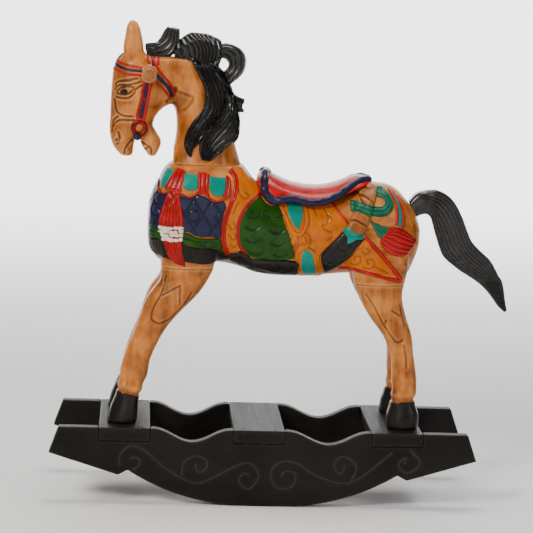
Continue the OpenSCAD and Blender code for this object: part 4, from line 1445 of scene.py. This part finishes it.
hilt = paint_both("sword_hilt", "wood", ground, [HILT], 9.0, border=10, cell=1.5, cuts=HILT_CUTS,
                  cut_depth=4.2, cut_width=1.6)
stacked = body_ground(hilt, sheath)
SHEATH_COLLAR = [(138, 536), (147, 541), (160, 534), (172, 528), (184, 525), (180, 517), (168, 516),
                 (156, 509), (149, 508), (148, 520), (142, 528)]
paint_both("sheath_collar", "teal_paint", stacked, [SHEATH_COLLAR], 1.8, border=2.4, cell=1.5)
BEND = [(184, 575), (202, 571), (216, 571), (228, 577), (233, 588), (227, 600), (214, 606)]
RIBBON = [(154, 579), (168, 579)] + BEND + [(205, 606)]
RIBBON_CUTS = [
    [(150, 586), (166, 586), (186, 581), (202, 577), (214, 577), (224, 583), (226, 591), (220, 599),
     (206, 602)],
    [(152, 580), (166, 580)] + BEND,
    [(150, 574), (166, 573), (184, 568), (202, 564), (218, 564), (232, 571), (239, 586), (232, 600),
     (218, 608)],
]
paint_both("green_ribbon", "ribbon_paint", stacked, [strip(RIBBON, 21)], 3.2, border=4, cell=1.5,
           cuts=RIBBON_CUTS, cut_depth=1.8, cut_width=1.1, soft=False)
TASSEL_HEAD = [(191, 555), (204, 550), (218, 545), (231, 541), (227, 532), (221, 524), (212, 519), (204, 530),
               (196, 543)]
paint_both("rear_tassel_head", "ribbon_paint", ground, [TASSEL_HEAD], 4.0, border=5, cell=1.5,
           cuts=[[(196, 550), (206, 540), (216, 526)], [(204, 548), (213, 540), (222, 530)]], cut_width=0.9)
BRUSH = [(229, 542), (240, 543), (259, 538), (274, 527), (288, 516), (285, 507), (275, 492), (260, 484),
         (242, 485), (225, 494), (213, 510), (215, 522), (222, 532)]
BRUSH_CUTS = [
    [(230, 538), (248, 538), (266, 529), (284, 517)], [(227, 533), (244, 533), (262, 525), (282, 514)],
    [(224, 529), (240, 527), (258, 519), (280, 511)], [(221, 524), (236, 519), (254, 510), (276, 505)],
    [(218, 519), (232, 510), (250, 501), (270, 498)], [(216, 513), (230, 502), (246, 493), (264, 491)],
]
paint_both("rear_tassel", "red_paint", ground, [BRUSH], 6.0, border=12, cell=1.6, cuts=BRUSH_CUTS,
           cut_depth=2.4, cut_width=1.1)
RUMP_LINES = [[(243, 612), (248, 592), (248, 572), (244, 544)],
              [(254, 607), (261, 583), (262, 562), (258, 538)]]
RUMP_MIDDLE = [(248, 610), (254, 588), (255, 567), (251, 541)]
paint_both("rump_strap", "teal_paint", ground, [strip(RUMP_MIDDLE, 9)], 1.8, border=3, cell=1.6, soft=False)
paint_both("rump_strap_rims", "red_paint", ground, [strip(row, 6.5) for row in RUMP_LINES], 3.0, border=3.2,
           cell=1.5, soft=False)

# %% [markdown]
# The front tassel hangs from the collar: a long red brush, tied by a cream wool band.

# %% Front tassel
FRONT_BRUSH = [(-193, 600), (-184, 602), (-175, 598), (-170, 575), (-166, 555), (-164, 535), (-165, 520),
               (-166, 500), (-164, 480), (-158, 455), (-168, 456), (-180, 461), (-190, 475), (-197, 492),
               (-201, 510), (-203, 530), (-203, 548), (-199, 570)]
BRUSH_RIBS = [[(-184 + k * 1.6, 600), (-184 + k * 4.2, 560), (-184 + k * 5.4, 530), (-182 + k * 4.6, 500),
               (-170 + k * 3.4, 458)] for k in (-2.7, -1.7, -0.7, 0.4, 1.4, 2.4)]
brush = paint_both("front_tassel", "red_paint", body_ground(collar_field, collar_fringe), [FRONT_BRUSH], 5.0,
                   border=11, cell=1.6, cuts=BRUSH_RIBS, cut_depth=2.4, cut_width=1.2)
CURL_GAP = 7.6
wool = []
for row in range(4):
    for k in range(5):
        wander = random.uniform(-1.6, 1.6)
        wool.append(oval(-200 + k * CURL_GAP + wander + row * 0.6, 529 - row * CURL_GAP + wander,
                         random.uniform(5, 7.5), random.uniform(4, 5.4), 10))
paint_both("tassel_band", "cream_paint", body_ground(brush), wool, 2.6, border=4, cell=1.2, soft=False)
print("harness painted")

# %% [markdown]
# ## The saddle
# The red seat is one carving. A navy roll runs round its edge, thickest at the pommel, and
# thinnest at the cantle behind.

# %% Seat
seat = remesh(from_frame("carved_seat", "saddle"), SKIN["seat"])
smooth(seat, 26)
weather(seat, rounds=5)
dress(seat, PAINTS["red_paint"], "red_paint", "saddle")
seat_surface = surface_of(seat, body)
ROLL_LINE = [(-10, 635), (-11, 624), (-12, 611), (-9, 598), (0, 588), (12, 584), (26, 588), (40, 591),
             (56, 588), (72, 584), (88, 584), (104, 587), (119, 592), (133, 600), (146, 609), (160, 619),
             (173, 625), (186, 628), (196, 626)]


def tube(name, line, reach, ripple=0.0):
    """A closed roll along a loop of points in metres. reach gives its radius at each point."""
    rows = 16
    count = len(line)
    run = np.roll(line, -1, axis=0) - np.roll(line, 1, axis=0)
    run /= np.linalg.norm(run, axis=1, keepdims=True)
    first = np.cross(run, (0, 0, 1.0))
    first /= np.linalg.norm(first, axis=1, keepdims=True) + 1e-9
    second = np.cross(run, first)
    points = []
    for i in range(count):
        size = reach[i] * (1 + ripple * math.sin(i * 0.9))
        for r in range(rows):
            a = 2 * math.pi * r / rows
            points.append(line[i] + (first[i] * math.cos(a) + second[i] * math.sin(a)) * size)
    faces = [[i * rows + r, i * rows + (r + 1) % rows, (i + 1) % count * rows + (r + 1) % rows,
              (i + 1) % count * rows + r] for i in range(count) for r in range(rows)]
    return mesh_object(name, points, faces)


near_side = np.array([(x * MM, min(on_surface(seat_surface, x, z).y, -0.012), z * MM)
                      for x, z in even(curve(ROLL_LINE), 3.5)])


def crossing(x, start_y, lift):
    """Points over the top of the saddle from the left side to the right one."""
    made = []
    for y in np.arange(start_y + 0.004, -start_y - 0.001, 0.004):
        hit = seat_surface.ray_cast(Vector((x, y, 1.0)), Vector((0, 0, -1)))[0]
        made.append((x, y, hit.z + lift))
    return np.array(made)


pommel, cantle = near_side[0], near_side[-1]
behind_seat = crossing(cantle[0] - 6 * MM, cantle[1], -3 * MM)
in_front = crossing(pommel[0] + 6 * MM, pommel[1], -3 * MM)[::-1]
loop = np.vstack([near_side, behind_seat, (near_side * (1, -1, 1))[::-1], in_front])
loop = even(loop, 3.2 * MM, closed=True)
for _ in range(4):
    loop = (np.roll(loop, 1, axis=0) + np.roll(loop, -1, axis=0)) / 4 + loop / 2
reach = np.interp(loop[:, 0], [-0.02, 0.01, 0.05, 0.13, 0.2], [8, 8, 7, 7.5, 6.5]) * MM
roll = tube("navy_roll", loop, reach, 0.05)
weather(roll, rounds=2)
dress(roll, PAINTS["navy_paint"], "navy_paint")
print("saddle ready")

# %% [markdown]
# ## Floor, backdrop and last measurements
# One pale sheet lies on the floor and curves up behind, so no edge shows behind the horse.
# The painted model's box is printed, as the frame's own was at the start, so the two can be compared.

# %% Floor
SWEEP_START, SWEEP_RADIUS, SWEEP_TOP = 6.0, 2.6, 9.0
SWEEP_STEPS = 24
profile = [(-9.0, 0.0), (SWEEP_START, 0.0)]
for k in range(1, SWEEP_STEPS + 1):
    a = math.pi / 2 * k / SWEEP_STEPS
    profile.append((SWEEP_START + SWEEP_RADIUS * math.sin(a), SWEEP_RADIUS * (1 - math.cos(a))))
profile.append((SWEEP_START + SWEEP_RADIUS, SWEEP_TOP))
sheet_points = [(x, y, z) for y, z in profile for x in (-12.0, 12.0)]
sheet_faces = [[2 * i, 2 * i + 1, 2 * i + 3, 2 * i + 2] for i in range(len(profile) - 1)]
floor = mesh_object("floor", sheet_points, sheet_faces)
sheet = Paint("pale_floor")
fibre = sheet.noise(30, 3)
sheet.bumps((fibre, 0.0003))
pale = sheet.ramp(fibre, (0.3, (0.9, 0.9, 0.9)), (0.7, (0.93, 0.93, 0.93)))
floor.data.materials.append(sheet.finish(pale, roughness=0.8))
floor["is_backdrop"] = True

low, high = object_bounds()
print("box of the finished model:", low, high)
